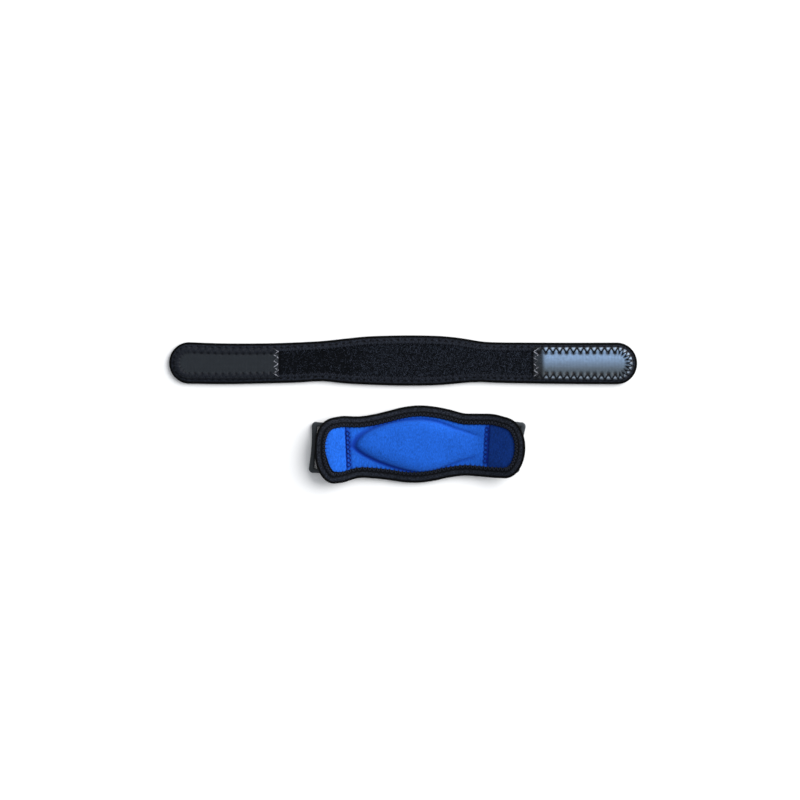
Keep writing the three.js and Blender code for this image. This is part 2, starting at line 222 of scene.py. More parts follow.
class Colours(bpy.types.PropertyGroup):
    """Colours of the finishes."""

    pile: colour("Pile", "Loop pile of the strap", 21, 26, 33)
    pile_tip: colour("Pile tips", "Light fibres of the pile", 64, 71, 86)
    tape: colour("Binding", "Edge tape", 20, 24, 32)
    tape_worn: colour("Binding ribs", "Lighter ribs of the edge tape", 56, 61, 73)
    thread: colour("Thread", "Black sewing thread", 15, 17, 23)
    pale_thread: colour("Pale thread", "Thread across the strap", 160, 162, 172)
    hook_dull: colour("Left hooks", "Hook patch that faces away from the light", 42, 47, 53)
    # Painted shade: the left patch's darker border.
    hook_border_shade: colour("Left hooks, border", "Where its stitches draw it down", 17, 21, 30)
    # Painted reflection: the right patch's shine, lighter on its far side and darker on its near side.
    hook_reflection: colour("Right hooks, far side", "Hook patch that shines", 150, 180, 216)
    hook_shade: colour("Right hooks, near side", "Its darker side", 82, 94, 104)
    # Painted highlight along the right patch's border.
    hook_glint: colour("Right hooks, border", "Its border outside the stitches", 178, 196, 218)
    lining: colour("Lining", "Blue knit", 28, 88, 190)
    # Painted shade in the lining's grooves, creases, seam bands and needle holes.
    recess_shade: colour("Groove", "Blue knit in the grooves", 12, 44, 140)
    # Painted shade of the right flap, which slopes away from the light.
    lining_shade: colour("Right flap", "Blue knit whose nap lies away from the light", 10, 38, 98)
    seam_thread: colour("Seam thread", "Dark blue thread of the pad's seams", 12, 34, 128)
    back: colour("Pad back", "Knit of the pad's back", 28, 30, 35)
    webbing: colour("Webbing", "Tabs", 26, 28, 33)
    plastic: colour("Plastic", "Moulded loops", 42, 46, 50)
    gel: colour("Insert", "Gel of the pressure insert", 214, 212, 204)
    floor: colour("Floor", "Table", 250, 250, 250)


class ElbowStrap(bpy.types.PropertyGroup):
    """All settings of the scene."""

    strap: PointerProperty(type=StrapSizes)
    pad: PointerProperty(type=PadSizes)
    loops: PointerProperty(type=LoopSizes)
    stitches: PointerProperty(type=StitchSizes)
    colours: PointerProperty(type=Colours)


# Sizes that the visual model shares with the CAD
FOLD = 1 * MM  # the binding and the gap inside it, under the cloths and round their edge
GAP = 0.3 * MM  # between two layers
RIM = 0.62  # share of the thickness left where the binding presses the layers
PARTS_GAP = 15.6 * MM  # between strap and pad at their middles
PAD_X = 13.1 * MM  # the pad's middle, to the right of the strap's

# Sizes of the visual model alone
TAPE = 0.75 * MM  # the binding's face stands this far over the cloth
CREASE = 1.6 * MM  # from a seam's middle line out to the crease beside it
CLOTH_INSET = FOLD + 0.15 * MM  # the cloths end this far inside the outline
PAD_BLUNT = (0.93, 0.8)  # powers of the left flap's near and far corner
FILM = 0.3 * MM  # thickness of the hook film
FILM_LIFT = 0.35 * MM  # its face over the cloth that it is sewn to

# How finely outlines are worked out
TIP_ROWS = 26  # rows in each rounded end
EDGE_SAMPLES = 1600  # places along an edge that others are compared with
BATCH = 4000  # places compared with an edge at a time


# Curves and outlines


def smooth(x, low, high):
    """Smoothstep: 0 below low, 1 above high, and t * t * (3 - 2 * t) between."""
    t = np.clip((x - low) / (high - low), 0, 1)
    return t * t * (3 - 2 * t)


def catmull_rom(points, steps):
    """A uniform Catmull-Rom curve: between two points, the cubic whose slope at each is half the chord between
    its neighbours."""
    before = np.vstack([points[:1], points[:-2]])
    after = np.vstack([points[2:], points[-1:]])
    start, end = points[:-1, None], points[1:, None]
    t = (np.arange(steps) / steps)[None, :, None]
    leave = (end - before[:, None]) / 2
    arrive = (after[:, None] - start) / 2
    cubic = (2 * start - 2 * end + leave + arrive) * t**3
    square = (3 * end - 3 * start - 2 * leave - arrive) * t**2
    curve = cubic + square + leave * t + start
    return np.vstack([curve.reshape(-1, points.shape[1]), points[-1:]])


def tip_rows(row, before, side, reach, powers):
    """The rows of a rounded end, from its tip in to a body's last row: a half ellipse whose half widths are
    sin(turn)^power, with each side's slope running on into it and fading as (1 - cos(turn))^2."""
    turn = np.linspace(0, math.pi / 2, TIP_ROWS, endpoint=False)
    middle, half = (row[1] + row[2]) / 2, (row[2] - row[1]) / 2
    near_slope, far_slope = side * (row[1:] - before[1:]) / (row[0] - before[0])
    out = reach * np.cos(turn)
    fade = out * (1 - np.cos(turn)) ** 2
    below, above = (half * np.sin(turn) ** power for power in powers)
    sides = middle - below + near_slope * fade, middle + above + far_slope * fade
    return np.stack([row[0] + side * out, *sides], 1)


def plan_rows(x, near, far, reach, inset=0.0, steps=24, blunt=(1, 1)):
    """Rows of x, near y and far y from tip to tip: a Catmull-Rom body between two rounded ends, all moved
    inwards by inset. Blunt holds the powers of the left end's near and far side."""
    body = catmull_rom(np.stack([x, near + inset, far - inset], 1), steps)
    left = tip_rows(body[0], body[1], -1, reach - inset, blunt)
    right = tip_rows(body[-1], body[-2], 1, reach - inset, (1, 1))
    return np.vstack([left, body, right[::-1]])


class Edge:
    """A closed outline, clockwise from above, measured by the arc length along it."""

    def __init__(self, rows):
        self.ring = np.vstack([rows[:, [0, 2]], rows[-2:0:-1, [0, 1]], rows[:1, [0, 2]]])
        steps = np.linalg.norm(np.diff(self.ring, axis=0), axis=1)
        self.arc = np.concatenate([[0], np.cumsum(steps)])
        self.length = self.arc[-1]

    def place(self, s):
        """The point at arc length s."""
        return np.stack([np.interp(s % self.length, self.arc, self.ring[:, k]) for k in (0, 1)], -1)

    def along(self, s):
        """The unit tangent, from a chord of 1.6 mm."""
        chord = self.place(s + 0.8 * MM) - self.place(s - 0.8 * MM)
        return chord / np.linalg.norm(chord, axis=-1, keepdims=True)

    def inset(self, s, distance):
        """The point at arc length s, moved inwards along the normal."""
        tangent = self.along(s)
        inward = np.stack([tangent[..., 1], -tangent[..., 0]], -1)
        return self.place(s) + inward * np.asarray(distance)[..., None]

    def nearest(self, x, y):
        """Arc length and distance of the edge's closest point to each place: the nearest sample, and the place's
        shadow on the tangent there."""
        s = np.linspace(0, self.length, EDGE_SAMPLES, endpoint=False)
        samples, tangents = self.place(s), self.along(s)
        arcs, gaps = [], []
        for part in np.array_split(np.stack([x.ravel(), y.ravel()], 1), max(1, x.size // BATCH)):
            closest = ((part[:, None] - samples[None]) ** 2).sum(-1).argmin(1)
            offset = part - samples[closest]
            shift = (offset * tangents[closest]).sum(1)
            arcs.append(s[closest] + shift)
            gaps.append(np.sqrt(np.maximum((offset**2).sum(1) - shift**2, 0)))
        return np.concatenate(arcs).reshape(x.shape), np.concatenate(gaps).reshape(x.shape)


class Zigzag:
    """A zigzag seam that follows an edge: its inset is a triangle wave of the arc length."""

    def __init__(self, edge, pitch, outer, inner):
        self.edge, self.outer, self.inner = edge, outer, inner
        self.count = round(edge.length / pitch)
        self.pitch = edge.length / self.count

    def inset(self, s):
        """How far in the thread lies at arc length s: from the outer needle points to the inner ones and back."""
        wave = 1 - 4 * np.abs((s / self.pitch) % 1 - 0.5)
        return (self.inner + self.outer) / 2 + (self.inner - self.outer) / 2 * wave

    def nearness(self, s, distance, width):
        """exp(-(gap / width)^2), with the gap square to the thread's leg."""
        slope = 2 * (self.inner - self.outer) / self.pitch
        gap = (distance - self.inset(s)) / math.hypot(1, slope)
        return np.exp(-((gap / width) ** 2))

    def needles(self, s, distance, width):
        """exp(-(gap / width)^4) from the nearest needle point, inner or outer."""
        turn = (s / self.pitch) % 1
        inner = np.hypot((turn - 0.5) * self.pitch, distance - self.inner)
        outer = np.hypot(np.minimum(turn, 1 - turn) * self.pitch, distance - self.outer)
        return np.exp(-((np.minimum(inner, outer) / width) ** 4))

    def path(self, height, lift, dip, samples=8):
        """The thread's centre: over the cloth between needle points, and dipping into it at each, by the
        fourth power of the share along the leg. Its second result, the share's cube, tells how deep it is and so how
        dark the thread's painted shade is there."""
        leg = (1 - np.cos(math.pi * np.arange(samples) / samples)) / 2
        turn = (np.arange(2 * self.count)[:, None] + leg[None]).ravel() / 2
        turn = np.append(turn, self.count)
        s = turn * self.pitch
        distance = self.inset(s)
        place = self.edge.inset(s, distance)
        share = np.abs(4 * ((turn % 0.5) - 0.25))
        z = height(place[:, 0], place[:, 1], distance) + lift - dip * share**4
        return np.column_stack([place, z]), share**3


# Meshes


def put_mesh(name, vertices, faces, uv=None, attributes=None):
    """A smooth-shaded object from arrays. Faces that the merge of doubles collapses are dropped, and all are
    turned to face outwards."""
    mesh = bpy.data.meshes.new(name)
    mesh.from_pydata(np.asarray(vertices).tolist(), [], faces if isinstance(faces, list) else faces.tolist())
    for key, values in (attributes or {}).items():
        mesh.attributes.new(key, "FLOAT", "POINT").data.foreach_set("value", values.astype(np.float32).ravel())
    if uv is not None:
        mesh.uv_layers.new(name="UVMap").data.foreach_set("uv", uv.astype(np.float32).ravel())
    work = bmesh.new()
    work.from_mesh(mesh)
    bmesh.ops.remove_doubles(work, verts=work.verts, dist=1e-6)
    if work.calc_volume(signed=True) < 0:
        bmesh.ops.reverse_faces(work, faces=work.faces)
    work.to_mesh(mesh)
    work.free()
    mesh.shade_smooth()
    obj = bpy.data.objects.new(name, mesh)
    bpy.context.scene.collection.objects.link(obj)
    return obj


def sheet_mesh(name, x, y, upper, lower, **attributes):
    """A closed sheet over a grid in plan: its upper and lower heights, joined round the grid's border."""
    n, m = x.shape
    points = np.concatenate([np.stack([x, y, z], -1).reshape(-1, 3) for z in (upper, lower)])
    i, j = np.meshgrid(np.arange(n - 1), np.arange(m - 1), indexing="ij")
    a = (i * m + j).ravel()
    top = np.stack([a, a + m, a + m + 1, a + 1], 1)
    under = top[:, ::-1] + n * m
    rows, columns = np.arange(n - 1) * m, np.arange(m - 1)
    border = [
        np.stack([rows, rows + n * m, rows + m + n * m, rows + m], 1),
        np.stack([rows + m - 1, rows + 2 * m - 1, rows + 2 * m - 1 + n * m, rows + m - 1 + n * m], 1),
        np.stack([columns, columns + 1, columns + 1 + n * m, columns + n * m], 1),
        np.stack([columns + 1, columns, columns + n * m, columns + 1 + n * m], 1) + (n - 1) * m,
    ]
    doubled = {key: np.concatenate([v.ravel(), v.ravel()]) for key, v in attributes.items()}
    return put_mesh(name, points, np.concatenate([top, under, *border]), attributes=doubled)


def ring_mesh(name, points, along, across, **attributes):
    """A surface closed both ways, such as a profile carried round an edge, with its two lengths as UV."""
    n, m = points.shape[:2]
    i, j = (k.ravel() for k in np.meshgrid(np.arange(n), np.arange(m), indexing="ij"))
    corners = [(i, j), (i + 1, j), (i + 1, j + 1), (i, j + 1)]
    faces = np.stack([(a % n) * m + b % m for a, b in corners], 1)
    uv = np.stack([np.stack([along[a], across[b]], -1) for a, b in corners], 1)
    return put_mesh(name, points.reshape(-1, 3), faces, uv=uv, attributes=attributes)


def sweep_mesh(name, paths, side, section, scale, **marks):
    """Closed bars: a section of side and up shares, scaled at each point, carried along every path of an
    array of paths, with a pole closing each end. Up is square to the path and to side, and a side that isn't
    given is level and square to the path. Marks are values at the paths' points."""
    k, n = paths.shape[:2]
    m = len(section)
    tangent = np.gradient(paths, axis=1)
    tangent /= np.maximum(np.linalg.norm(tangent, axis=-1, keepdims=True), 1e-12)
    if side is None:
        side = np.cross(tangent, [0.0, 0.0, 1.0])
        side /= np.maximum(np.linalg.norm(side, axis=-1, keepdims=True), 1e-9)
    up = np.cross(side, tangent)
    scale = np.broadcast_to(scale, (k, n, 2))
    rings = (
        paths[:, :, None]
        + side[:, :, None] * (section[:, 0] * scale[..., :1])[..., None]
        + up[:, :, None] * (section[:, 1] * scale[..., 1:])[..., None]
    )
    points = np.concatenate([rings.reshape(k, n * m, 3), paths[:, :1], paths[:, -1:]], 1)
    i, j = (v.ravel() for v in np.meshgrid(np.arange(n - 1), np.arange(m), indexing="ij"))
    quads = np.stack([i * m + j, i * m + (j + 1) % m, (i + 1) * m + (j + 1) % m, (i + 1) * m + j], 1)
    around = np.arange(m)
    caps = np.concatenate(
        [
            np.stack([np.full(m, n * m), (around + 1) % m, around], 1),
            np.stack([np.full(m, n * m + 1), (n - 1) * m + around, (n - 1) * m + (around + 1) % m], 1),
        ]
    )
    starts = (np.arange(k) * (n * m + 2))[:, None, None]
    faces = (quads[None] + starts).reshape(-1, 4).tolist() + (caps[None] + starts).reshape(-1, 3).tolist()
    along = np.linalg.norm(np.diff(paths, axis=1), axis=-1).cumsum(1)
    lengths = np.concatenate([np.zeros((k, 1)), along], 1)
    run = np.concatenate([np.repeat(lengths, m, 1), lengths[:, :1], lengths[:, -1:]], 1)
    share = np.concatenate([np.tile(np.linspace(0, 1, m), (k, n)), np.zeros((k, 2))], 1)
    attributes = {"run": run, "around": share}
    for key, mark in marks.items():
        attributes[key] = np.concatenate([np.repeat(mark, m, 1), mark[:, :1], mark[:, -1:]], 1)
    return put_mesh(name, points.reshape(-1, 3), faces, attributes=attributes)


def round_section(sides):
    """Points of a unit circle."""
    turn = np.arange(sides) / sides * TAU
    return np.stack([np.cos(turn), np.sin(turn)], 1)


def squircle(turn, across, up):
    """A unit superellipse: the cosine and the sine of the turn, each raised to its power with its sign kept."""
    return (
        np.sign(np.cos(turn)) * np.abs(np.cos(turn)) ** across,
        np.sign(np.sin(turn)) * np.abs(np.sin(turn)) ** up,
    )


def thread_mesh(name, path, radius, **marks):
    """A sewing thread with six sides along one path, with marks at its points."""
    marks = {key: mark[None] for key, mark in marks.items()}
    return sweep_mesh(name, path[None], None, round_section(6), radius, **marks)


def place_piece(obj, body, slot, material, *nodes):
    """Gives a piece its material and the body it rides on, and hides the CAD nodes it stands for. The finish slot is
    not used.
    """
    obj.data.materials.append(material)
    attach(obj, body)
    if nodes:
        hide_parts(*nodes)


# Materials


class Socket:
    """An output of a node. Arithmetic with numbers or other sockets adds Math nodes."""

    def __init__(self, tree, output):
        self.tree, self.output = tree, output

    def math(self, operation, *values):
        """A Math node of this socket and the values."""
        inputs = dict(enumerate((self, *values)))
        return Socket(self.tree, new_node(self.tree, "ShaderNodeMath", {"operation": operation}, inputs).outputs[0])

    def __add__(self, other):
        return self.math("ADD", other)

    def __mul__(self, other):
        return self.math("MULTIPLY", other)

    def __sub__(self, other):
        return self.math("SUBTRACT", other)

    def __rsub__(self, other):
        return (self * -1) + other

    __radd__, __rmul__ = __add__, __mul__

    def sine(self):
        """The sine of a value in radians."""
        return self.math("SINE")

    def ramp(self, low, high):
        """Smoothstep between two values, falling where the first is the higher one."""
        inputs = {"Value": self, "From Min": low, "From Max": high}
        made = new_node(self.tree, "ShaderNodeMapRange", {"interpolation_type": "SMOOTHSTEP"}, inputs)
        return Socket(self.tree, made.outputs[0])


def new_node(tree, kind, settings, inputs):
    """A node of any kind: its settings first, then its inputs, each a socket to link or a value to set."""
    made = tree.nodes.new(kind)
    for key, value in settings.items():
        setattr(made, key, value)
    for key, value in inputs.items():
        if isinstance(value, Socket):
            tree.links.new(value.output, made.inputs[key])
        else:
            made.inputs[key].default_value = value
    return made


class Finish:
    """A material under construction, on a Principled shader."""

    def __init__(self, name):
        self.material = bpy.data.materials.new(name)
        self.material.use_nodes = True
        self.tree = self.material.node_tree
        self.tree.nodes.clear()

    def node(self, kind, settings=None, inputs=None, output=0):
        """One output of a new node, by its name or number."""
        made = new_node(self.tree, kind, settings or {}, inputs or {})
        return Socket(self.tree, made.outputs[output])

    def coordinates(self, source="Object"):
        """Places on the piece, in metres."""
        return self.node("ShaderNodeTexCoord", output=source)

    def attribute(self, name):
        """A value that the mesh holds at its points."""
        return self.node("ShaderNodeAttribute", {"attribute_name": name}, output="Fac")

    def split(self, vector):
        """The three parts of a vector."""
        made = new_node(self.tree, "ShaderNodeSeparateXYZ", {}, {0: vector})
        return [Socket(self.tree, part) for part in made.outputs]

    def stretch(self, vector, *scale):
        """Places scaled along each axis, to draw a pattern out along one of them."""
        return self.node("ShaderNodeMapping", inputs={"Vector": vector, "Scale": scale})

    def noise(self, vector, scale, detail=2.0, roughness=0.5):
        """Soft noise with so many features per metre."""
        inputs = {"Vector": vector, "Scale": scale, "Detail": detail, "Roughness": roughness}
        return self.node("ShaderNodeTexNoise", inputs=inputs)

    def cells(self, vector, scale):
        """Distance to the nearest of scattered points, so many per metre."""
        return self.node("ShaderNodeTexVoronoi", inputs={"Vector": vector, "Scale": scale}, output="Distance")

    def mix(self, factor, first, second):
        """The first colour where the factor is 0, and the second where it is 1."""
        return self.node("ShaderNodeMix", {"data_type": "RGBA"}, {0: factor, 6: first, 7: second}, output=2)

    def bump(self, height, distance, strength=1.0, normal=None):
        """A normal tilted by a height, over one that is already tilted."""
        inputs = {"Height": height, "Distance": distance, "Strength": strength}
        if normal is not None:
            inputs["Normal"] = normal
        return self.node("ShaderNodeBump", inputs=inputs)

    def done(self, inputs):
        """Closes the material with a Principled shader of these inputs."""
        shader = self.node("ShaderNodeBsdfPrincipled", inputs=inputs)
        new_node(self.tree, "ShaderNodeOutputMaterial", {}, {"Surface": shader})
        return self.material


def shade(colour_value, factor):
    """A colour times a number, with its alpha kept."""
    return (*[min(1, c * factor) for c in colour_value[:3]], 1)


def cloth_inputs(base, roughness, normal, sheen=0.02, tint=(0.7, 0.75, 0.85, 1)):
    """Inputs of a cloth's shader, with a constant sheen."""
    return {
        "Base Color": base,
        "Roughness": roughness,
        "Normal": normal,
        "Sheen Weight": sheen,
        "Sheen Roughness": 0.45,
        "Sheen Tint": tint,
        "Specular IOR Level": 0.06,
    }


def pile_finish(colours):
    """Loop pile: clumps of 0.9 mm and curls of 0.7 mm with painted shade in the gaps between them, and light tips
    where the clumps stand highest. It has fewer of them towards the left, where it has been pressed."""
    f = Finish("loop_pile")
    place = f.coordinates()
    clumps = f.noise(place, 1150, 3, 0.7)
    curls = f.cells(place, 1500)
    fine = f.noise(place, 2600, 2, 0.7)
    x = f.split(place)[0]
    rough = x.ramp(-45 * MM, -20 * MM) * 0.7 + 0.3
    tips = (clumps * 0.6 + fine * 0.6).ramp(0.62, 0.8) * rough
    base = f.mix(tips, shade(colours.pile, 0.3), colours.pile_tip)
    # Painted shade in the gaps between the curls.
    base = f.mix(curls.ramp(0.3, 0.7) * 0.7, base, shade(colours.pile, 0.06))
    normal = f.bump(clumps, 0.5 * MM, 0.7)
    normal = f.bump(curls * -1, 0.35 * MM, 0.8, normal)
    normal = f.bump(fine, 0.12 * MM, 0.6, normal)
    return f.done(cloth_inputs(base, 0.95, normal, 0.03))


def tape_finish(name, colours, inner):
    """Edge tape: fine cross ribs every 0.55 mm with warp threads every 0.8 mm, worn lighter on the ribs, with
    lint. The UV map holds the lengths along and across the tape. Painted shade makes it nearly black where it turns
    round the edge and in its needle holes, and by the given share it is darker over its inner part."""
    f = Finish(name)
    u, v, _ = f.split(f.coordinates("UV"))
    place = f.coordinates()
    ribs = (u * (TAU / (0.55 * MM)) + (v * (TAU / (0.8 * MM))).sine() * 0.9).sine() * 0.5 + 0.5
    warp = (v * (TAU / (0.8 * MM))).sine() * 0.5 + 0.5
    blotch = f.noise(place, 950, 3, 0.75)
    lint = f.noise(place, 1700, 2, 0.8).ramp(0.56, 0.7)
    worn = (ribs * 0.2 + blotch * 0.9 + lint * 0.4).ramp(0.45, 0.88)
    base = f.mix(worn, shade(colours.tape, 0.3), colours.tape_worn)
    inset = f.attribute("inset")
    # Painted shade: nearly black where the tape turns round the edge.
    base = f.mix(inset.ramp(2.5 * MM, 1.3 * MM), base, shade(colours.tape, 0.02))
    base = f.mix(inset.ramp(4 * MM, 5.2 * MM) * inner, base, shade(colours.tape, 0.2))
    # Painted shade in the needle holes and along the stitches' legs.
    base = f.mix(f.attribute("dent"), base, shade(colours.tape, 0.01))
    normal = f.bump(ribs + warp * 0.4, 0.12 * MM, 0.7)
    normal = f.bump(f.noise(place, 900, 3, 0.6), 0.25 * MM, 0.35, normal)
    return f.done(cloth_inputs(base, 0.8, normal))


def hook_finish(name, high, low, border, middle_y, gloss):
    """Hook tape: satin plastic film with moulding marks across it, with a painted reflection from its far to its
    near side. Along its border it has a painted highlight or painted shade, it is dull where the pile has rubbed
    it, and painted shade darkens it where the stitches press it and along its edges."""
    f = Finish(name)
    place = f.coordinates()
    x, y, _ = f.split(place)
    # Painted reflection: from the near side's colour to the far side's.
    side = (y - middle_y).ramp(-7 * MM, 7 * MM)
    base = f.mix(side, low, high)
    weave = f.noise(f.stretch(place, 1, 0.35, 1), 900, 3, 0.6)
    grain = f.noise(place, 1500, 2, 0.7)
    base = f.mix((weave * 0.4 + grain * 0.7).ramp(0.68, 0.38) * 0.45, base, shade(low, 0.55))
    # Painted highlight or painted shade along the border.
    base = f.mix(f.attribute("border") * 0.9, base, border)
    # Rubbed dull by the pile, which is real wear; the painted reflection of the patch ends there too.
    dull = (f.attribute("worn") + grain * 0.3 - 0.15).ramp(0.02, 0.98)
    base = f.mix(dull * 0.96, base, shade(low, 0.08))
    # Painted shade in the needle holes, under the stitches' legs and along the film's edges.
    base = f.mix(f.attribute("dent"), base, (0.002, 0.003, 0.006, 1))
    ribs = (x * (TAU / (1.15 * MM))).sine()
    normal = f.bump(ribs, 0.08 * MM, 0.5)
    normal = f.bump(grain, 0.1 * MM, 0.6, normal)
    roughness = 0.36 + weave * 0.25 + dull * 0.3
    return f.done({"Base Color": base, "Roughness": roughness, "Normal": normal, "Specular IOR Level": gloss})


def hooks_finish(name, high, low, middle_y, gloss):
    """The moulded hooks: the same film, drawn thin and glossy, with its painted reflection from far to near side."""
    f = Finish(name)
    place = f.coordinates()
    y = f.split(place)[1]
    # Painted reflection: lighter towards the far side.
    base = f.mix((y - middle_y).ramp(-10 * MM, 6 * MM), low, high)
    base = f.mix(f.noise(place, 700, 2).ramp(0.3, 0.7) * 0.5, base, shade(low, 0.7))
    base = f.mix(f.attribute("worn") * 0.9, base, shade(low, 0.1))
    normal = f.bump(f.noise(place, 9000, 1), 0.02 * MM, 0.4)
    return f.done({"Base Color": base, "Roughness": 0.35, "Normal": normal, "Specular IOR Level": gloss})


def lining_finish(colours):
    """Brushed knit: wales every 0.95 mm that wander, courses every 0.7 mm, and fuzz over both. Painted light makes
    the flap that faces the light lighter, painted shade makes the other flap and the relief's right part darker,
    and painted shade gives the grooves, creases, seam bands and needle holes a deeper blue."""
    f = Finish("brushed_knit")
    place = f.coordinates()
    x, y, _ = f.split(place)
    wander = f.noise(place, 90, 2)
    wales = ((x + wander * (1.4 * MM)) * (TAU / (0.95 * MM))).sine() * 0.5 + 0.5
    courses = ((y + wander * (1.0 * MM)) * (TAU / (0.7 * MM))).sine() * 0.5 + 0.5
    fuzz = f.noise(place, 2600, 3, 0.65)
    streaks = f.noise(f.stretch(place, 1, 0.5, 1), 1050, 3, 0.7)
    cloud = f.noise(place, 55, 3, 0.5)
    tone = (wales * courses * 0.12 + fuzz * 0.25 + streaks * 1.0 + cloud * 0.2).ramp(0.36, 1.12)
    # Painted light on the flap that faces the light, and painted shade on the other flap and the relief's right part.
    lit, nap = f.attribute("lit"), f.attribute("nap")
    dark = f.mix(lit, shade(colours.lining, 0.56), shade(colours.lining, 0.95))
    low = f.mix(nap, dark, shade(colours.lining_shade, 0.4))
    bright = f.mix(lit, shade(colours.lining, 1.36), shade(colours.lining, 2.1))
    high = f.mix(nap, bright, shade(colours.lining_shade, 1.75))
    base = f.mix(tone, low, high)
    # Painted shade in the grooves, creases and seam bands.
    base = f.mix(f.attribute("groove"), base, colours.recess_shade)
    # Painted shade in the needle holes and the creases.
    base = f.mix(f.attribute("dent"), base, shade(colours.recess_shade, 0.35))
    normal = f.bump(wales * courses, 0.12 * MM, 0.6)
    normal = f.bump(streaks, 0.3 * MM, 0.4, normal)
    normal = f.bump(fuzz, 0.12 * MM, 0.6, normal)
    return f.done(cloth_inputs(base, 0.9, normal, 0.06, (0.45, 0.62, 1, 1)))


def knit_finish(name, base_colour):
    """Plain jersey over foam: offset rows of small loops."""
    f = Finish(name)
    place = f.coordinates()
    x, y, _ = f.split(place)
    wales = (x * (TAU / (0.9 * MM))).sine()
    courses = (y * (TAU / (0.65 * MM)) + wales * 1.2).sine()
    fuzz = f.noise(place, 2400, 3, 0.6)
    cloud = f.noise(place, 70, 3)
    tone = (courses * 0.25 + fuzz * 0.5 + cloud * 0.4).ramp(0.1, 0.95)
    base = f.mix(tone, shade(base_colour, 0.55), shade(base_colour, 1.9))
    normal = f.bump(courses + wales * 0.5, 0.12 * MM, 0.7)
    normal = f.bump(fuzz, 0.1 * MM, 0.5, normal)
    return f.done(cloth_inputs(base, 0.9, normal))


def webbing_finish(colours):
    """Plain-woven webbing: basket cells of 0.65 mm along and 0.8 mm across the tab."""
    f = Finish("woven_webbing")
    place = f.coordinates()
    x, y, _ = f.split(place)
    warp = (y * (TAU / (1.6 * MM))).sine()
    weft = (x * (TAU / (1.3 * MM))).sine()
    weave = warp * weft * 0.5 + 0.5
    fuzz = f.noise(place, 3000, 2, 0.7)
    tone = (weave * 0.5 + fuzz * 0.5).ramp(0.2, 0.9)
    base = f.mix(tone, shade(colours.webbing, 0.5), shade(colours.webbing, 1.8))
    normal = f.bump(weave, 0.25 * MM, 0.8)
    normal = f.bump(fuzz, 0.08 * MM, 0.5, normal)
    return f.done(cloth_inputs(base, 0.8, normal))


def thread_finish(name, base_colour, hidden=0.0, lint=None):
    """Twisted sewing thread: plies that turn round it once every 0.6 mm, by the length along it and the share
    round it. Fibres of the cloth hide it in places, by the given share, and painted shade darkens it where it dips
    into the needle holes. Lint is its tone where it lies on cloth."""
    f = Finish(name)
    plies = (f.attribute("run") * (TAU / (0.6 * MM)) + f.attribute("around") * TAU).sine() * 0.5 + 0.5
    fuzz = f.noise(f.coordinates(), 5000, 2)
    base = f.mix((plies * 0.6 + fuzz * 0.4).ramp(0.15, 0.9), shade(base_colour, 0.55), shade(base_colour, 1.5))
    specks = f.noise(f.coordinates(), 900, 2).ramp(0.44, 0.54)
    base = f.mix(specks * hidden, base, shade(base_colour, 0.08))
    if lint is not None:
        base = f.mix(f.attribute("lint") * 0.85, base, lint)
    # Painted shade where the thread dips into a needle hole.
    base = f.mix(f.attribute("dip"), base, shade(base_colour, 0.05))
    normal = f.bump(plies, 0.08 * MM, 0.7)
    return f.done(cloth_inputs(base, 0.6, normal))


def plastic_finish(colours):
    """Moulded plastic: a fine satin texture, soft flow marks, and handling wear that catches the light on the
    high spots."""
    f = Finish("moulded_plastic")
    place = f.coordinates()
    grain = f.noise(place, 5200, 2, 0.6)
    flow = f.noise(f.stretch(place, 1, 0.25, 1), 130, 4, 0.55)
    scuffs = f.noise(f.stretch(place, 0.2, 1, 1), 1500, 3, 0.7).ramp(0.63, 0.76)
    base = f.mix(flow.ramp(0.35, 0.7) * 0.5, colours.plastic, shade(colours.plastic, 1.7))
    base = f.mix(scuffs * 0.35, base, shade(colours.plastic, 4))
    normal = f.bump(grain, 0.05 * MM, 0.5)
    normal = f.bump(flow, 0.15 * MM, 0.3, normal)
    roughness = 0.3 + grain * 0.2 + scuffs * 0.15
    return f.done({"Base Color": base, "Roughness": roughness, "Normal": normal, "Specular IOR Level": 0.25})


def gel_finish(colours):
    """Soft gel of the hidden insert, slightly cloudy."""
    f = Finish("gel")
    place = f.coordinates()
    cloud = f.noise(place, 120, 4)
    base = f.mix(cloud.ramp(0.3, 0.7), shade(colours.gel, 0.85), colours.gel)
    normal = f.bump(f.noise(place, 600, 2), 0.1 * MM, 0.4)
    return f.done({"Base Color": base, "Roughness": 0.4 + cloud * 0.2, "Normal": normal})


def floor_finish(colours):
    """A matt white table with the faintest tooth."""
    f = Finish("white_table")
    place = f.coordinates()
    tooth = f.noise(place, 900, 2)
    base = f.mix(f.noise(place, 3, 2).ramp(0.3, 0.7), shade(colours.floor, 0.985), colours.floor)
    return f.done({"Base Color": base, "Roughness": 0.85, "Normal": f.bump(tooth, 0.03 * MM, 0.2)})


# Shapes shared by several pieces


def settings():
    """The scene's property groups."""
    return bpy.context.scene.elbow_strap


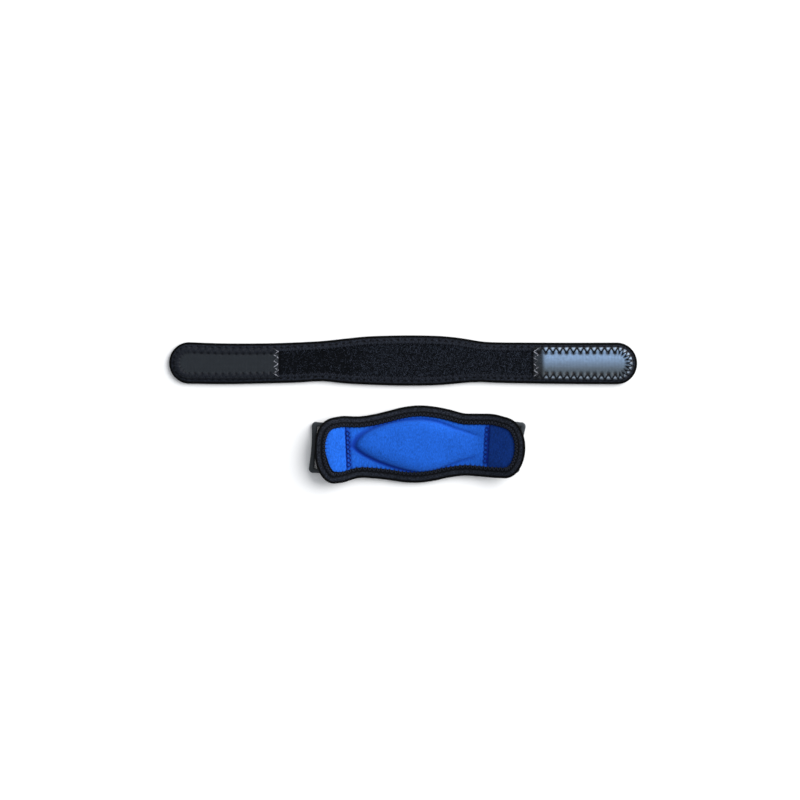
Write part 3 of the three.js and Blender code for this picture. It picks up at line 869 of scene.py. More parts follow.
class StrapPlan:
    """The strap's outline and the heights of its faces."""

    def __init__(self):
        sizes, stitches = settings().strap, settings().stitches
        self.sizes = sizes
        half = (sizes.end_width + (sizes.middle_width - sizes.end_width) * STRAP_SECTIONS["bulge"]) / 2
        self.y = (PARTS_GAP + settings().pad.width) / 2
        sway = STRAP_SECTIONS["sway"] * sizes.end_width + self.y
        reach = sizes.end_width / 2
        self.columns = (STRAP_SECTIONS["along"] * (sizes.length / 2 - reach), sway - half, sway + half, reach)
        self.edge = Edge(self.rows(0))
        self.zigzag = Zigzag(self.edge, stitches.strap_pitch, stitches.strap_outer, stitches.strap_inner)

    def rows(self, inset):
        """The outline's rows, moved inwards."""
        return plan_rows(*self.columns, inset)

    def cut(self, end):
        """How far from the strap's middle a hook patch begins."""
        return (0.5 - end["length"]) * self.sizes.length

    def face(self, distance):
        """The pile's height: the rim share of the thickness at the edge, and all of it past the binding."""
        return FOLD + self.sizes.thickness * squeeze(distance, self.sizes.tape_reach)

    def over_hooks(self, x):
        """1 where a hook patch lies, by x alone."""
        left, right = (self.cut(end) for end in HOOK_ENDS)
        return ((x < -left) | (x > right)).astype(float)

    def hook_base(self, distance):
        """The hook film's height: on the binding near the edge, and down on the pile inside it."""
        step = 1 - smooth(distance, self.sizes.tape_reach, self.sizes.tape_reach + 3 * MM)
        return self.face(distance) + GAP + TAPE * step + FILM_LIFT

    def top(self, x, y, distance):
        """The uppermost cloth: hook film, binding or pile."""
        tape = TAPE * (1 - smooth(distance, self.sizes.tape_reach - 0.2 * MM, self.sizes.tape_reach + 0.2 * MM))
        bare = self.face(distance) + tape
        film = self.hook_base(distance)
        hooked = self.over_hooks(x) * (distance > self.sizes.hook_margin)
        return np.where(hooked > 0.5, film, bare)


class PadPlan:
    """The pad's outline, the heights of its layers, and its relief."""

    def __init__(self):
        sizes, stitches = settings().pad, settings().stitches
        self.sizes = sizes
        self.x = PAD_X
        self.y = -(PARTS_GAP + settings().strap.middle_width) / 2
        half = sizes.width / 2
        along = PAD_SECTIONS["along"] * (sizes.length / 2 - sizes.end_reach) + self.x
        near, far = self.y - PAD_SECTIONS["near"] * half, self.y + PAD_SECTIONS["far"] * half
        self.columns = (along, near, far, sizes.end_reach)
        self.edge = Edge(plan_rows(*self.columns, blunt=PAD_BLUNT))
        self.zigzag = Zigzag(self.edge, stitches.pad_pitch, stitches.pad_outer, stitches.pad_inner)

    def rows(self, inset):
        """The outline's rows, moved inwards."""
        return plan_rows(*self.columns, inset, steps=30, blunt=PAD_BLUNT)

    def seam_x(self, end, y):
        """The seam's middle line: a straight line slanted on the table."""
        middle = self.x + end["side"] * (end["seam"] * self.sizes.length / 2 - 0.4 * MM)
        return middle - math.tan(math.radians(end["slant"])) * (y - self.y - end["seam_y"] * MM)

    def beyond(self, end, x, y):
        """How far a place lies past an end's crease, which is just outside the seam."""
        return end["side"] * (x - self.seam_x(end, y)) - CREASE

    def back(self, x, y):
        """The back's height: a shallow dish, and a flap that bends up at each seam along a hyperbola."""
        height = np.full_like(x, FOLD)
        for end in PAD_ENDS:
            seam = end["seam"] * self.sizes.length / 2
            share = np.clip(end["side"] * (x - self.x) / seam, 0, 1)
            past = self.beyond(end, x, y) + CREASE
            bend = (past + np.sqrt(past**2 + (1.5 * MM) ** 2)) / 2
            height = height + self.sizes.seam_lift * share**2
            height = height + bend * math.tan(math.radians(end["rise"]))
        return height

    def tape_inset(self, x, y):
        """How far in the binding reaches: a little more along the far side and round the near left corner."""
        far = smooth(y - self.y, 0, 12 * MM) * 0.4 * MM
        corner = smooth(self.x - x, 56 * MM, 70 * MM) * smooth(self.y - y, 2 * MM, 16 * MM) * 1.5 * MM
        return self.sizes.tape_reach + far + corner

    def shell(self, x, y, distance):
        """The upper face of the foam back."""
        return self.back(x, y) + self.sizes.shell * squeeze(distance, self.sizes.tape_reach)

    def gauge(self, x, y):
        """0 in the relief's middle and 1 on its outline, a superellipse whose power differs by quarter: it is
        blunt at the far left and straight at the near side. To the right it runs on past the seam."""
        along = (x - self.x) / (self.sizes.relief_length / 2)
        along = np.where(along > 0, along / 1.25, along)
        across = (y - self.y + self.sizes.relief_drop) / (self.sizes.relief_width / 2)
        left = np.where(across > 0, 1.9, 1.38)
        right = 1.46 - np.where(across > 0, 0.31, 0.34) * smooth(along, 0.05, 0.45)
        power = np.where(along < 0, left, right)
        return (np.abs(along) ** power + np.abs(across) ** power) ** (1 / power)

    def flat(self, x, y, distance):
        """The lining's face without its relief."""
        layers = (self.sizes.shell + self.sizes.lining) * squeeze(distance, self.sizes.tape_reach)
        return self.back(x, y) + layers + GAP

    def top(self, x, y, distance):
        """The face under the stitches: the binding, or the lining past it."""
        return self.flat(x, y, distance) + TAPE * (distance < self.sizes.tape_reach + 0.1 * MM)


def squeeze(distance, reach):
    """The share of a layer's thickness: the rim share at the edge, rising as a smoothstep to 1 past the
    binding."""
    return RIM + (1 - RIM) * smooth(distance, FOLD, FOLD + reach)


PIECES = {}


def piece_class(label, name):
    """Lists an operator for the panel and for main()."""

    def add(cls):
        cls.bl_idname, cls.bl_label = f"elbow_strap.{name}", label
        PIECES[name] = cls
        return cls

    return add


def binding_ring(plan, count, top, bottom, dent, reach):
    """The folded tape: a C-shaped profile carried round the edge. From the inner edge of the upper face, whose
    inset is a function of the place on the edge, it runs out, turns round the edge in a half ellipse, comes back
    under the lower face, and returns inside, the tape's thickness from both faces."""
    s = np.linspace(0, plan.edge.length, count, endpoint=False)[:, None]
    edge = plan.edge.place(s)
    reach = reach(edge[..., 0], edge[..., 1])
    thickness = 0.45 * MM
    over, under = 16, 7  # steps on the upper and on the lower face
    inside_low, inside_high = -1, 2  # kinds of the points inside; the others' kind is their share of the height
    turn = np.linspace(0, math.pi, 14)[1:-1]
    shares = np.concatenate([np.linspace(1, 0, over), 0 * turn, np.linspace(0, 1, under), [1, 0.6, 0, 0, 0.6, 1]])
    rounds = np.concatenate([np.zeros(over), np.sin(turn), np.zeros(under + 6)])
    kinds = [np.ones(over), (1 + np.cos(turn)) / 2, np.zeros(under), 3 * [inside_low], 3 * [inside_high]]
    kinds = np.concatenate(kinds)[None]
    distance = FOLD * (1 - rounds) + (reach - FOLD) * shares
    place = plan.edge.inset(np.broadcast_to(s, distance.shape), distance)
    x, y = place[..., 0], place[..., 1]
    high, low = top(x, y, distance), bottom(x, y, distance)
    # How far the stitches press the tape down, which also sets its painted shade in the needle holes and along the
    # legs.
    pressed = dent(np.broadcast_to(s, x.shape), distance) * (kinds == 1)
    z = np.select(
        [kinds == inside_low, kinds == inside_high],
        [low + thickness, high - thickness],
        low + (high - low) * np.clip(kinds, 0, 1),
    )
    points = np.stack([x, y, z - pressed * 0.3 * MM], -1)
    steps = np.linalg.norm(np.diff(np.concatenate([points, points[:, :1]], 1), axis=1), axis=-1).mean(0)
    across = np.concatenate([[0], np.cumsum(steps)])
    uv = np.append(s.ravel(), plan.edge.length), across
    return points, uv, {"dent": pressed, "inset": distance}


@piece_class("Strap pile", "strap_pile")
class STRAP_OT_pile(bpy.types.Operator):
    """Builds the strap's foam with its loop pile and loose fibres"""

    def execute(self, context):
        plan, colours = StrapPlan(), settings().colours
        obj = self.cloth(plan)
        place_piece(obj, ROOT, "strap_pile", pile_finish(colours), "strap_core")
        self.fibres(plan, colours)
        return {"FINISHED"}

    def cloth(self, plan):
        """The foam: flat below, and above it the pile's height, which swells past the binding where no hooks
        cover it, rolls with two crossed sines and is pressed down by the stitches."""
        rows = plan.rows(CLOTH_INSET)
        share = (1 - np.cos(np.linspace(0, math.pi, 46))) / 2
        x = np.repeat(rows[:, :1], share.size, 1)
        y = rows[:, 1:2] + (rows[:, 2:] - rows[:, 1:2]) * share
        s, distance = plan.edge.nearest(x, y)
        bare = 1 - plan.over_hooks(x)
        waves = np.sin(x * TAU / (13 * MM) + 2 * np.sin(x * 60)) * np.sin(y * TAU / (17 * MM) + x * 40)
        swell = smooth(distance, plan.sizes.tape_reach, plan.sizes.tape_reach + 5 * MM)
        pressed = 0.5 * plan.zigzag.nearness(s, distance, 0.6 * MM) * (distance > plan.sizes.tape_reach) * bare
        upper = plan.face(distance) + swell * (0.12 * MM * waves) - pressed * 0.35 * MM
        upper = upper + 0.25 * MM * swell * bare
        return sheet_mesh("strap_pile", x, y, upper, np.full_like(upper, 0.6 * MM))

    def fibres(self, plan, colours):
        """Loose curls: each a low arc between two points of the pile, thrown to one side by its own sine. Fewer
        lie to the left, where the pile has been pressed."""
        rng = np.random.default_rng(7)
        count = settings().strap.fibres
        left, right = (plan.cut(end) for end in HOOK_ENDS)
        x = rng.uniform(-left + 2 * MM, right - 2 * MM, count * 2)
        keep = rng.random(count * 2) < 0.35 + 0.65 * smooth(x, -45 * MM, -20 * MM)
        x = x[keep][:count]
        y = plan.y + rng.uniform(-14, 14, x.size) * MM
        _, distance = plan.edge.nearest(x, y)
        inside = distance > plan.sizes.tape_reach + 0.8 * MM
        x, y, distance = x[inside], y[inside], distance[inside]
        heading, length = rng.uniform(0, TAU, x.size), rng.uniform(0.8, 2.2, x.size) * MM
        height, throw = rng.uniform(0.25, 0.6, x.size) * MM, rng.normal(0, 0.4, x.size) * MM
        t = np.linspace(0, 1, 6)[None]
        run, off = (t - 0.5) * length[:, None], np.sin(math.pi * t) * throw[:, None]
        cosine, sine = np.cos(heading)[:, None], np.sin(heading)[:, None]
        z = plan.face(distance)[:, None] + 0.15 * MM + height[:, None] * np.sin(math.pi * t)
        paths = np.stack([x[:, None] + run * cosine - off * sine, y[:, None] + run * sine + off * cosine, z], -1)
        obj = sweep_mesh("strap_fibres", paths, None, round_section(3), 0.06 * MM)
        place_piece(obj, ROOT, "strap_pile", thread_finish("pile_fibre", colours.pile_tip))


@piece_class("Strap binding", "strap_binding")
class STRAP_OT_binding(bpy.types.Operator):
    """Builds the binding round the strap and its zigzag stitching"""

    def execute(self, context):
        plan, colours, stitches = StrapPlan(), settings().colours, settings().stitches
        zigzag = plan.zigzag
        points, uv, marks = binding_ring(
            plan,
            1150,
            lambda x, y, d: plan.face(d) + TAPE,
            lambda x, y, d: np.zeros_like(d),
            # Dents of the stitches' legs and needle holes, and the strength of their painted shade.
            lambda s, d: np.maximum(zigzag.nearness(s, d, 0.5 * MM) * 0.1, zigzag.needles(s, d, 1.0 * MM)),
            lambda x, y: np.full_like(x, plan.sizes.tape_reach),
        )
        obj = ring_mesh("strap_binding_tape", points, *uv, **marks)
        place_piece(obj, ROOT, "binding", tape_finish("strap_edge_tape", colours, 0.0), "strap_binding")
        # dip sets the thread's painted shade where it dips into the needle holes.
        path, dip = zigzag.path(plan.top, 0.16 * MM, 1.2 * MM)
        lint = 1 - plan.over_hooks(path[:, 0]) * (path[:, 0] > 0)
        obj = thread_mesh("strap_zigzag", path, stitches.thread, dip=dip, lint=lint)
        finish = thread_finish("black_thread", colours.thread, lint=shade(colours.tape_worn, 0.5))
        place_piece(obj, ROOT, "binding", finish)
        return {"FINISHED"}


@piece_class("Hook patches", "hook_patches")
class STRAP_OT_hooks(bpy.types.Operator):
    """Builds both hook patches, their hooks and the seams across their inner edges"""

    def execute(self, context):
        plan, colours = StrapPlan(), settings().colours
        # The right patch's colours carry a painted reflection, and each border has painted shade or a painted
        # highlight.
        tones = {
            "left": (colours.hook_dull, colours.hook_dull, colours.hook_border_shade, 0.15),
            "right": (colours.hook_reflection, colours.hook_shade, colours.hook_glint, 0.4),
        }
        pale = thread_finish("pale_thread", colours.pale_thread, 0.95)
        for end in HOOK_ENDS:
            high, low, border, gloss = tones[end["name"]]
            film = hook_finish(f"hook_film_{end['name']}", high, low, border, plan.y - 2 * MM, gloss)
            node = f"hook_patch_{end['name']}"
            place_piece(self.film(plan, end), ROOT, "hook_patch", film, node)
            hooks = hooks_finish(f"hooks_{end['name']}", high, low, plan.y - 2 * MM, gloss)
            place_piece(self.hooks(plan, end), ROOT, "hook_patch", hooks)
            place_piece(self.seam(plan, end), ROOT, "hook_patch", pale)
        return {"FINISHED"}

    def film(self, plan, end):
        """The hook film: a sheet within the hook margin, cut square at the patch's inner edge and pressed down by
        the stitches' legs and needle holes. Its rows follow the outline's in the rounded end."""
        rows = plan.rows(plan.sizes.hook_margin)
        cut, rounded = plan.cut(end), plan.sizes.length / 2 - 8 * MM
        tip = rows[rows[:, 0] * end["side"] > rounded, 0]
        body = end["side"] * np.arange(cut, rounded, 0.42 * MM)
        spots = np.unique(np.concatenate([tip, body]))
        near, far = (np.interp(spots, rows[:, 0], rows[:, k]) for k in (1, 2))
        share = (1 - np.cos(np.linspace(0, math.pi, 60))) / 2
        x = np.repeat(spots[:, None], share.size, 1)
        y = near[:, None] + (far - near)[:, None] * share
        s, distance = plan.edge.nearest(x, y)
        zigzag = plan.zigzag
        leg = zigzag.nearness(s, distance, 0.75 * MM) * (distance < zigzag.inner + 0.3 * MM)
        hole = zigzag.needles(s, distance, end["hole"] * MM)
        pressed = np.clip(np.maximum(leg * 0.8, hole * 1.15), 0, 1)
        face = plan.hook_base(distance) - pressed * 0.35 * MM
        # Painted shade along the film's outer edge, wider on the near side, and along its cut edge.
        rim = plan.sizes.hook_margin + np.where(y < plan.y, 0.7, 0.1) * MM
        rim = np.maximum(1 - smooth(distance, rim, rim + 0.8 * MM), 1 - smooth(end["side"] * x - cut, 0, 0.9 * MM))
        marks = {
            # Painted shade in the needle holes, under the stitches' legs and along the film's edges.
            "dent": np.clip(np.maximum(np.maximum(leg * end["marks"], hole * 1.35), rim * 0.9), 0, 1),
            "worn": self.dulled(plan, end, x),
            # Where the border's painted shade or painted highlight lies.
            "border": 1 - smooth(distance, end["border"] * MM, (end["border"] + 1.6) * MM),
        }
        return sheet_mesh(f"hook_film_{end['name']}", x, y, face, face - FILM, **marks)

    def dulled(self, plan, end, x):
        """1 where the pile has rubbed the film dull, next to the patch's inner edge, dying away by a square."""
        past = end["side"] * x - plan.cut(end)
        return 1 - smooth(past, end["worn"] * MM, (end["worn"] + end["fade"]) * MM) ** 2

    def hooks(self, plan, end):
        """Hooks on a grid, every second row shifted by half a pitch and those under the stitches left out: each
        rises by a sine, leans outwards along the strap by a cosine and thins to its tip."""
        pitch = plan.sizes.hook_pitch
        row_pitch = pitch * 0.85
        x = end["side"] * np.arange(plan.cut(end) + 1.5 * MM, plan.sizes.length / 2, pitch)
        y = plan.y + np.arange(-15, 15) * row_pitch
        x, y = (v.ravel() for v in np.meshgrid(x, y, indexing="ij"))
        row = np.round((y - plan.y) / row_pitch).astype(int)
        x = x + (row % 2) * pitch / 2 * end["side"]
        s, distance = plan.edge.nearest(x, y)
        stitched = plan.zigzag.nearness(s, distance, 0.7 * MM) * (distance < plan.zigzag.inner + 0.6 * MM)
        keep = (stitched < 0.25) & (distance > plan.sizes.hook_margin + 0.5 * MM) & self.within(plan, x, y)
        x, y, distance = x[keep], y[keep], distance[keep]
        t = np.linspace(0, 1, 5)[None]
        rise = plan.sizes.hook_height * np.sin(t * math.pi * 0.62)
        lean = plan.sizes.hook_height * 0.9 * (1 - np.cos(t * math.pi * 0.62)) * end["side"]
        z = plan.hook_base(distance)[:, None] - 0.05 * MM + rise
        paths = np.stack([x[:, None] + lean, np.broadcast_to(y[:, None], z.shape), z], -1)
        side = np.broadcast_to(np.array([0.0, 1.0, 0.0]), paths.shape)
        thick = np.linspace(0.22, 0.12, 5)[None, :, None] * MM * np.ones((1, 1, 2))
        worn = np.broadcast_to(self.dulled(plan, end, x)[:, None], z.shape)
        return sweep_mesh(f"hooks_{end['name']}", paths, side, round_section(4), thick, worn=worn)

    def within(self, plan, x, y):
        """Whether places lie inside the strap's outline."""
        rows = plan.rows(0)
        near, far = (np.interp(x, rows[:, 0], rows[:, k]) for k in (1, 2))
        return (np.abs(x) <= plan.sizes.length / 2) & (y > near) & (y < far)

    def seam(self, plan, end):
        """A zigzag across the patch's inner edge: a triangle wave along the strap, dipping at each needle
        point by the eighth power of the share along the leg."""
        legs, samples, across = 9, 8, 22 * MM
        run = np.arange(legs * samples + 1) / samples
        wave = 1 - 2 * np.abs(run % 2 - 1)
        x = end["side"] * (plan.cut(end) + 2 * MM + 1.9 * MM * wave)
        y = plan.y + (run / legs - 0.5) * across - 0.05 * plan.sizes.end_width
        share = np.abs(2 * (run % 1) - 1)
        _, distance = plan.edge.nearest(x, y)
        z = plan.top(x, y, distance) + 0.42 * MM - 0.8 * MM * share**8
        return thread_mesh(f"hook_seam_{end['name']}", np.stack([x, y, z], 1), settings().stitches.thread)


@piece_class("Pad", "pad")
class STRAP_OT_pad(bpy.types.Operator):
    """Builds the pad's blue lining and its back"""

    def execute(self, context):
        plan, colours = PadPlan(), settings().colours
        rows = plan.rows(CLOTH_INSET)
        share = (1 - np.cos(np.linspace(0, math.pi, 150))) / 2 * 0.45 + np.linspace(0, 1, 150) * 0.55
        x = np.repeat(rows[:, :1], share.size, 1)
        y = rows[:, 1:2] + (rows[:, 2:] - rows[:, 1:2]) * share
        s, distance = plan.edge.nearest(x, y)
        obj = self.lining(plan, x, y, s, distance)
        place_piece(obj, ROOT, "lining", lining_finish(colours), "pad_lining")
        few = slice(None, None, 3)
        obj = self.back(plan, x[few, few], y[few, few], distance[few, few])
        place_piece(obj, ROOT, "pad_back", knit_finish("back_knit", colours.back), "pad_shell")
        return {"FINISHED"}

    def relief(self, plan, gauge, along):
        """The rise over the insert, relief_height * (1 - gauge^6)^0.85, which dies away towards the right seam."""
        rise = plan.sizes.relief_height * (1 - np.minimum(gauge, 1) ** 6) ** 0.85
        return rise * (1 - 0.3 * smooth(along, 0.1, 0.7) - 0.7 * smooth(along, 0.55, 1.02))

    def groove(self, plan, gauge, along):
        """The groove just outside the relief, exp(-(gap / width)^2), shallower towards the right seam."""
        gap = (gauge - 1.03) * plan.sizes.relief_width / 2
        fade = 1 - 0.5 * smooth(along, 0.1, 0.7) - 0.4 * smooth(along, 0.75, 0.98)
        return np.exp(-((gap / np.where(gap > 0, 1.3 * MM, 1.0 * MM)) ** 2)) * fade

    def lining(self, plan, x, y, s, distance):
        """The lining: its flat face, the relief, and past the binding a swell, slow waves and the seams' ripple;
        less the groove, each flap's crease, each seam's band, and the needle holes along the binding."""
        sizes = plan.sizes
        gauge = plan.gauge(x, y)
        along = (x - plan.x) / (sizes.relief_length / 2)
        groove = self.groove(plan, gauge, along)
        past = [plan.beyond(end, x, y) for end in PAD_ENDS]
        crease = sum(np.exp(-((beyond / (0.6 * MM)) ** 2)) for beyond in past)
        seam = sum(np.exp(-(((beyond + 2.0 * MM) / (2.0 * MM)) ** 4)) for beyond in past)
        free = smooth(distance, sizes.tape_reach - 1 * MM, sizes.tape_reach + 2 * MM)
        swell = 0.5 * MM * smooth(distance, sizes.tape_reach, sizes.tape_reach + 6 * MM)
        ripple = np.sin(y * TAU / settings().stitches.seam_pitch) * seam * 0.12 * MM
        waves = np.sin(x * 95 + 1.3 * np.sin(y * 160)) * np.sin(y * 130 + 0.8) * 0.15 * MM
        holes = plan.zigzag.nearness(s, distance, 0.6 * MM) * (distance > sizes.tape_reach - 1 * MM)
        upper = plan.flat(x, y, distance) + self.relief(plan, gauge, along) + free * (swell + waves + ripple)
        upper = upper - free * (groove * sizes.groove_depth + crease * 0.7 * MM + seam * 0.45 * MM)
        upper = upper - holes * 0.2 * MM
        # Painted shade in the groove, stronger towards its left and near side, which face away from the light.
        shaded = smooth(-along, -0.6, 0.6) * smooth(plan.y - y, -20 * MM, 8 * MM)
        dark = groove * (0.55 + 0.45 * shaded)
        return sheet_mesh(
            "pad_lining_knit",
            x,
            y,
            upper,
            plan.shell(x, y, distance) + 0.02 * MM,
            # Painted shade in the groove, the creases and the seam bands.
            groove=np.clip(dark + crease * free * 0.9 + seam * free * 0.45, 0, 1),
            # Painted shade in the needle holes and the creases.
            dent=np.clip(holes * 0.5 + crease * free * 0.25, 0, 1),
            # Painted shade on the right flap and the relief's right part.
            nap=0.8 * smooth(past[1], -1 * MM, 1 * MM) + 0.14 * smooth(along, 0.3, 0.8),
            # Painted light on the left flap, which faces the light.
            lit=0.36 * smooth(past[0], -1 * MM, 1 * MM),
        )

    def back(self, plan, x, y, distance):
        """The foam back: its upper face, and its lower one with a slight swell past the binding."""
        swell = 0.35 * MM * smooth(distance, plan.sizes.tape_reach, plan.sizes.tape_reach + 5 * MM)
        return sheet_mesh("pad_back_knit", x, y, plan.shell(x, y, distance), plan.back(x, y) - swell)


@piece_class("Pad binding", "pad_binding")
class STRAP_OT_pad_binding(bpy.types.Operator):
    """Builds the binding round the pad and its zigzag stitching"""

    def execute(self, context):
        plan, colours, stitches = PadPlan(), settings().colours, settings().stitches
        zigzag = plan.zigzag
        points, uv, marks = binding_ring(
            plan,
            760,
            lambda x, y, d: plan.flat(x, y, d) + TAPE,
            lambda x, y, d: plan.back(x, y) - FOLD,
            # Dents of the stitches' legs and needle holes, and the strength of their painted shade.
            lambda s, d: np.maximum(zigzag.nearness(s, d, 0.4 * MM) * 0.3, zigzag.needles(s, d, 0.8 * MM)),
            plan.tape_inset,
        )
        obj = ring_mesh("pad_binding_tape", points, *uv, **marks)
        place_piece(obj, ROOT, "binding", tape_finish("pad_edge_tape", colours, 0.85), "pad_binding")
        # dip sets the thread's painted shade where it dips into the needle holes.
        path, dip = zigzag.path(plan.top, 0.12 * MM, 0.8 * MM, 6)
        obj = thread_mesh("pad_zigzag", path, stitches.thread, dip=dip)
        place_piece(obj, ROOT, "binding", thread_finish("pad_thread", shade(colours.thread, 4)))
        return {"FINISHED"}


@piece_class("Pad seams", "pad_seams")
class STRAP_OT_seams(bpy.types.Operator):
    """Builds the double zigzags that sew the tabs to the pad"""

    def execute(self, context):
        plan, colours, stitches = PadPlan(), settings().colours, settings().stitches
        navy = thread_finish("navy_thread", colours.seam_thread, 0.6)
        for end in PAD_ENDS:
            for strand, sign in (("a", 1), ("b", -1)):
                path = self.strand(plan, end, sign, stitches)
                obj = thread_mesh(f"seam_{end['name']}_{strand}", path, stitches.thread)
                place_piece(obj, ROOT, "lining", navy)
        return {"FINISHED"}

    def strand(self, plan, end, sign, stitches):
        """One of two threads that swing across the seam in opposite sines, so that they cross."""
        length = 28.5 * MM
        run = np.linspace(0, 1, 240)
        y = plan.y + end["seam_y"] * MM + (run - 0.5) * length
        swing = np.sin(run * length / (2 * stitches.seam_pitch) * TAU)
        half = stitches.seam_width / 2 - stitches.thread
        x = plan.seam_x(end, y) + sign * half * swing
        _, distance = plan.edge.nearest(x, y)
        free = smooth(distance, plan.sizes.tape_reach - 1 * MM, plan.sizes.tape_reach + 2 * MM)
        z = plan.flat(x, y, distance) + free * 0.05 * MM + 0.24 * MM + sign * 0.12 * MM * np.cos(2 * np.arcsin(swing))
        return np.stack([x, y, z], 1)


def end_frame(plan, end):
    """The place and the two directions of a loop's inner bar: towards the loop, and along the bar."""
    turn = (math.pi if end["side"] < 0 else 0) + math.radians(end["lean"])
    out = np.array([math.cos(turn), math.sin(turn), 0])
    bar = np.array([-math.sin(turn), math.cos(turn), 0])
    loops = settings().loops
    seam = end["seam"] * plan.sizes.length / 2
    height = loops.bar_radius + GAP + loops.tab_thickness
    place = np.array([plan.x + end["side"] * (seam + loops.tab_reach), plan.y - end["drop"] * MM, height])
    return place, out, bar


def tangent_turn(x, z, radius, side):
    """The turn at which a line from a place touches a circle round the origin, on one side of it or the other."""
    return math.atan2(z, x) % TAU + side * math.acos(radius / math.hypot(x, z))


@piece_class("Tabs", "tabs")
class STRAP_OT_tabs(bpy.types.Operator):
    """Builds the folded webbing tabs"""

    def execute(self, context):
        plan, colours = PadPlan(), settings().colours
        finish = webbing_finish(colours)
        for end in PAD_ENDS:
            obj = self.tab(plan, end)
            place_piece(obj, ROOT, "webbing", finish, f"tab_{end['name']}")
        return {"FINISHED"}

    def tab(self, plan, end):
        """A strip with a rounded flat section along a path: under the pad's back, round the bar and back."""
        loops = settings().loops
        place, out, bar = end_frame(plan, end)
        thick = loops.tab_thickness
        lean, rise = abs(math.radians(end["lean"])), math.radians(end["rise"])
        drop = GAP + math.sin(lean) * loops.tab_width / 2 * math.tan(rise)
        spots = np.linspace(-loops.tab_reach - 3 * MM, 1.5 * MM - loops.tab_reach, 14)
        middle = place[None] + spots[:, None] * out[None]
        upper = plan.back(middle[:, 0], middle[:, 1]) - drop - thick / 2 - place[2]
        radius = loops.bar_radius + GAP + thick / 2
        lower = upper - thick - GAP
        first = tangent_turn(spots[-1], upper[-1], radius, -1)
        last = tangent_turn(spots[-1], lower[-1], radius, 1) - TAU
        turn = np.linspace(first, last, 40)
        x = np.concatenate([spots, radius * np.cos(turn), spots[::-1]])
        z = np.concatenate([upper, radius * np.sin(turn), lower[::-1]])
        path = place[None] + x[:, None] * out[None] + z[:, None] * np.array([0, 0, 1.0])
        flat = np.stack(squircle(np.arange(28) / 28 * TAU, 0.12, 0.4), 1)
        side = np.broadcast_to(bar, (1, len(path), 3))
        scale = np.broadcast_to(np.array([loops.tab_width / 2, thick / 2]), (1, len(path), 2))
        return sweep_mesh(f"tab_webbing_{end['name']}", path[None], side, flat, scale)


def rounded_path(half, reach, corner):
    """A rounded rectangle in 400 even steps, from a side at 0 out to the reach and back: its places, how far
    along each lies, and the whole length. The first bend has the last one's angles, so that the path folds back
    there, inside the moulding."""
    straight = np.linspace(0, 1, 70, endpoint=False)[:, None]
    quarter = np.linspace(0, math.pi / 2, 20, endpoint=False)[::-1]
    sides = (
        ((0, corner - half), (0, half - corner)),
        ((corner, half), (reach - corner, half)),
        ((reach, half - corner), (reach, corner - half)),
        ((reach - corner, -half), (corner, -half)),
    )
    bends = (
        ((corner, half - corner), math.pi),
        ((reach - corner, half - corner), 0),
        ((reach - corner, corner - half), -math.pi / 2),
        ((corner, corner - half), math.pi),
    )
    parts = []
    for (first, last), (centre, start) in zip(sides, bends):
        turn = quarter + start
        parts.append(np.array(first) + (np.array(last) - np.array(first)) * straight)
        parts.append(np.array(centre) + corner * np.stack([np.cos(turn), np.sin(turn)], 1))
    path = np.vstack([*parts, parts[0][:1]])
    arcs = np.concatenate([[0], np.cumsum(np.linalg.norm(np.diff(path, axis=0), axis=1))])
    even = np.linspace(0, arcs[-1], 400, endpoint=False)
    return np.stack([np.interp(even, arcs, path[:, k]) for k in (0, 1)], 1), even, arcs[-1]


@piece_class("Loops", "loops")
class STRAP_OT_loops(bpy.types.Operator):
    """Builds the moulded loops"""

    def execute(self, context):
        plan = PadPlan()
        finish = plastic_finish(settings().colours)
        for end in PAD_ENDS:
            name = end["name"]
            place_piece(self.loop(plan, end), f"{name}_loop", "loop_plastic", finish, f"loop_{name}")
        return {"FINISHED"}

    def loop(self, plan, end):
        """A superellipse section carried round a rounded rectangle. Its half width runs from the round inner
        bar to the flat rails and the outer bar, whose outer side is hollow between its corners."""
        loops = settings().loops
        place, out, bar = end_frame(plan, end)
        half = loops.slot_length / 2 + loops.rail / 2
        reach = end["reach"] * MM - loops.outer_bar / 2
        corner = loops.corner - loops.outer_bar / 2
        path, even, length = rounded_path(half, reach, corner)
        outer = smooth(path[:, 0], reach - 2.5 * MM, reach)
        inner = 1 - smooth(path[:, 0], 0.2 * MM, 2.5 * MM)
        bowed = loops.slot_length / 2 + loops.rail - loops.corner
        hollow = loops.bow / 2 * np.maximum(1 - (path[:, 1] / bowed) ** 2, 0) * outer
        wide = loops.rail / 2 + (loops.outer_bar - loops.rail) / 2 * outer
        wide = wide + (loops.bar_radius - loops.rail / 2) * inner - hollow
        path[:, 0] -= hollow
        tangent = np.roll(path, -1, 0) - np.roll(path, 1, 0)
        tangent /= np.linalg.norm(tangent, axis=1, keepdims=True)
        normal = np.stack([-tangent[:, 1], tangent[:, 0]], 1)
        power = 2 / (3.4 - 1.4 * inner)[:, None]
        turn = np.arange(40) / 40 * TAU
        across, up = squircle(turn, power, power)
        seam_line = 0.05 * MM * np.exp(-((np.sin(turn) / 0.09) ** 2)) * np.sign(np.cos(turn))
        width = across * wide[:, None] + seam_line
        thick = up * loops.thickness / 2
        tilt = math.asin((place[2] - loops.thickness / 2) / (end["reach"] * MM))
        x = path[:, :1] + normal[:, :1] * width
        y = path[:, 1:] + normal[:, 1:] * width
        forward = x * math.cos(tilt) + thick * math.sin(tilt)
        height = -x * math.sin(tilt) + thick * math.cos(tilt)
        points = place + forward[..., None] * out + y[..., None] * bar + height[..., None] * np.array([0, 0, 1.0])
        lengths = np.append(even, length), np.linspace(0, 12 * MM, turn.size + 1)
        return ring_mesh(f"moulded_loop_{end['name']}", points, *lengths)


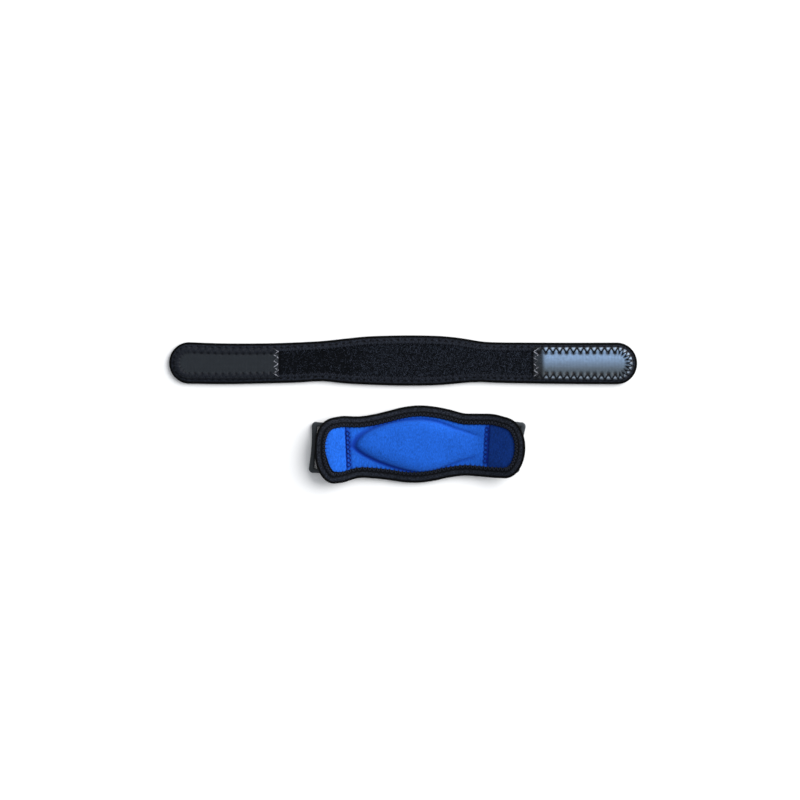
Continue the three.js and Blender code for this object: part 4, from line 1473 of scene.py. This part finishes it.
@piece_class("Pressure insert", "insert")
class STRAP_OT_insert(bpy.types.Operator):
    """Gives the hidden pressure insert its gel finish"""

    def execute(self, context):
        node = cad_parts["pressure_insert"]
        node.data.materials.clear()
        node.data.materials.append(gel_finish(settings().colours))
        return {"FINISHED"}


PIXEL = 0.79 * MM  # the photograph's pixel on the table
PHOTO_SIDE = 800  # its width in pixels


@piece_class("Stage", "stage")
class STRAP_OT_stage(bpy.types.Operator):
    """Builds the floor, the lights and the camera"""

    def execute(self, context):
        scene = context.scene
        self.add_floor(scene)
        self.add_world(scene)
        self.add_key(scene, (0.80, 0.42, 0.5), 4.9)
        scene.view_settings.view_transform = "Standard"
        self.add_camera(scene)
        return {"FINISHED"}

    def add_floor(self, scene):
        """A white table top, 16 m wide, so that it fills the views from low down as well."""
        half = 8.0
        corners = [(-half, -half, 0), (half, -half, 0), (half, half, 0), (-half, half, 0)]
        mesh = bpy.data.meshes.new("table_top")
        mesh.from_pydata(corners, [], [(0, 1, 2, 3)])
        mesh.materials.append(floor_finish(settings().colours))
        floor = bpy.data.objects.new("table_top", mesh)
        scene.collection.objects.link(floor)

    def add_world(self, scene):
        """Weak, slightly blue light from all round."""
        world = bpy.data.worlds.new("studio")
        world.use_nodes = True
        background = world.node_tree.nodes["Background"]
        background.inputs["Color"].default_value = (0.93, 0.96, 1, 1)
        background.inputs["Strength"].default_value = 0.55
        scene.world = world

    def add_key(self, scene, towards, strength):
        """A low, soft key light, far enough away to light the whole table evenly."""
        light = bpy.data.lights.new("key", "SUN")
        light.angle, light.energy = math.radians(60), strength
        obj = bpy.data.objects.new("key", light)
        obj.location = towards
        obj.rotation_euler = (-Vector(towards)).to_track_quat("-Z", "Y").to_euler()
        scene.collection.objects.link(obj)

    def add_camera(self, scene):
        """A long lens straight above the photograph's middle, high enough to show as much as it does."""
        camera = bpy.data.cameras.new("camera")
        camera.lens, camera.sensor_width = 100, 36
        obj = bpy.data.objects.new("camera", camera)
        height = PHOTO_SIDE * PIXEL / camera.sensor_width * camera.lens + 3 * MM
        obj.location = (-3.1 * PIXEL, 9.4 * PIXEL, height)
        scene.collection.objects.link(obj)
        scene.camera = obj


class STRAP_PT_panel(bpy.types.Panel):
    """Lists the pieces of the elbow strap"""

    bl_idname = "STRAP_PT_panel"
    bl_label = "Elbow strap"
    bl_space_type = "VIEW_3D"
    bl_region_type = "UI"
    bl_category = "Elbow strap"

    def draw(self, context):
        for operator in PIECES.values():
            self.layout.operator(operator.bl_idname)
        for group in ("strap", "pad", "loops", "stitches", "colours"):
            box = self.layout.box()
            box.label(text=group.capitalize())
            holder = getattr(settings(), group)
            for name in holder.__annotations__:
                box.prop(holder, name)


CLASSES = (StrapSizes, PadSizes, LoopSizes, StitchSizes, Colours, ElbowStrap, *PIECES.values(), STRAP_PT_panel)


def register():
    for cls in CLASSES:
        bpy.utils.register_class(cls)
    bpy.types.Scene.elbow_strap = PointerProperty(type=ElbowStrap)


def unregister():
    del bpy.types.Scene.elbow_strap
    for cls in reversed(CLASSES):
        bpy.utils.unregister_class(cls)


def main():
    register()
    for name in PIECES:
        getattr(bpy.ops.elbow_strap, name)()


if __name__ == "__main__":
    main()
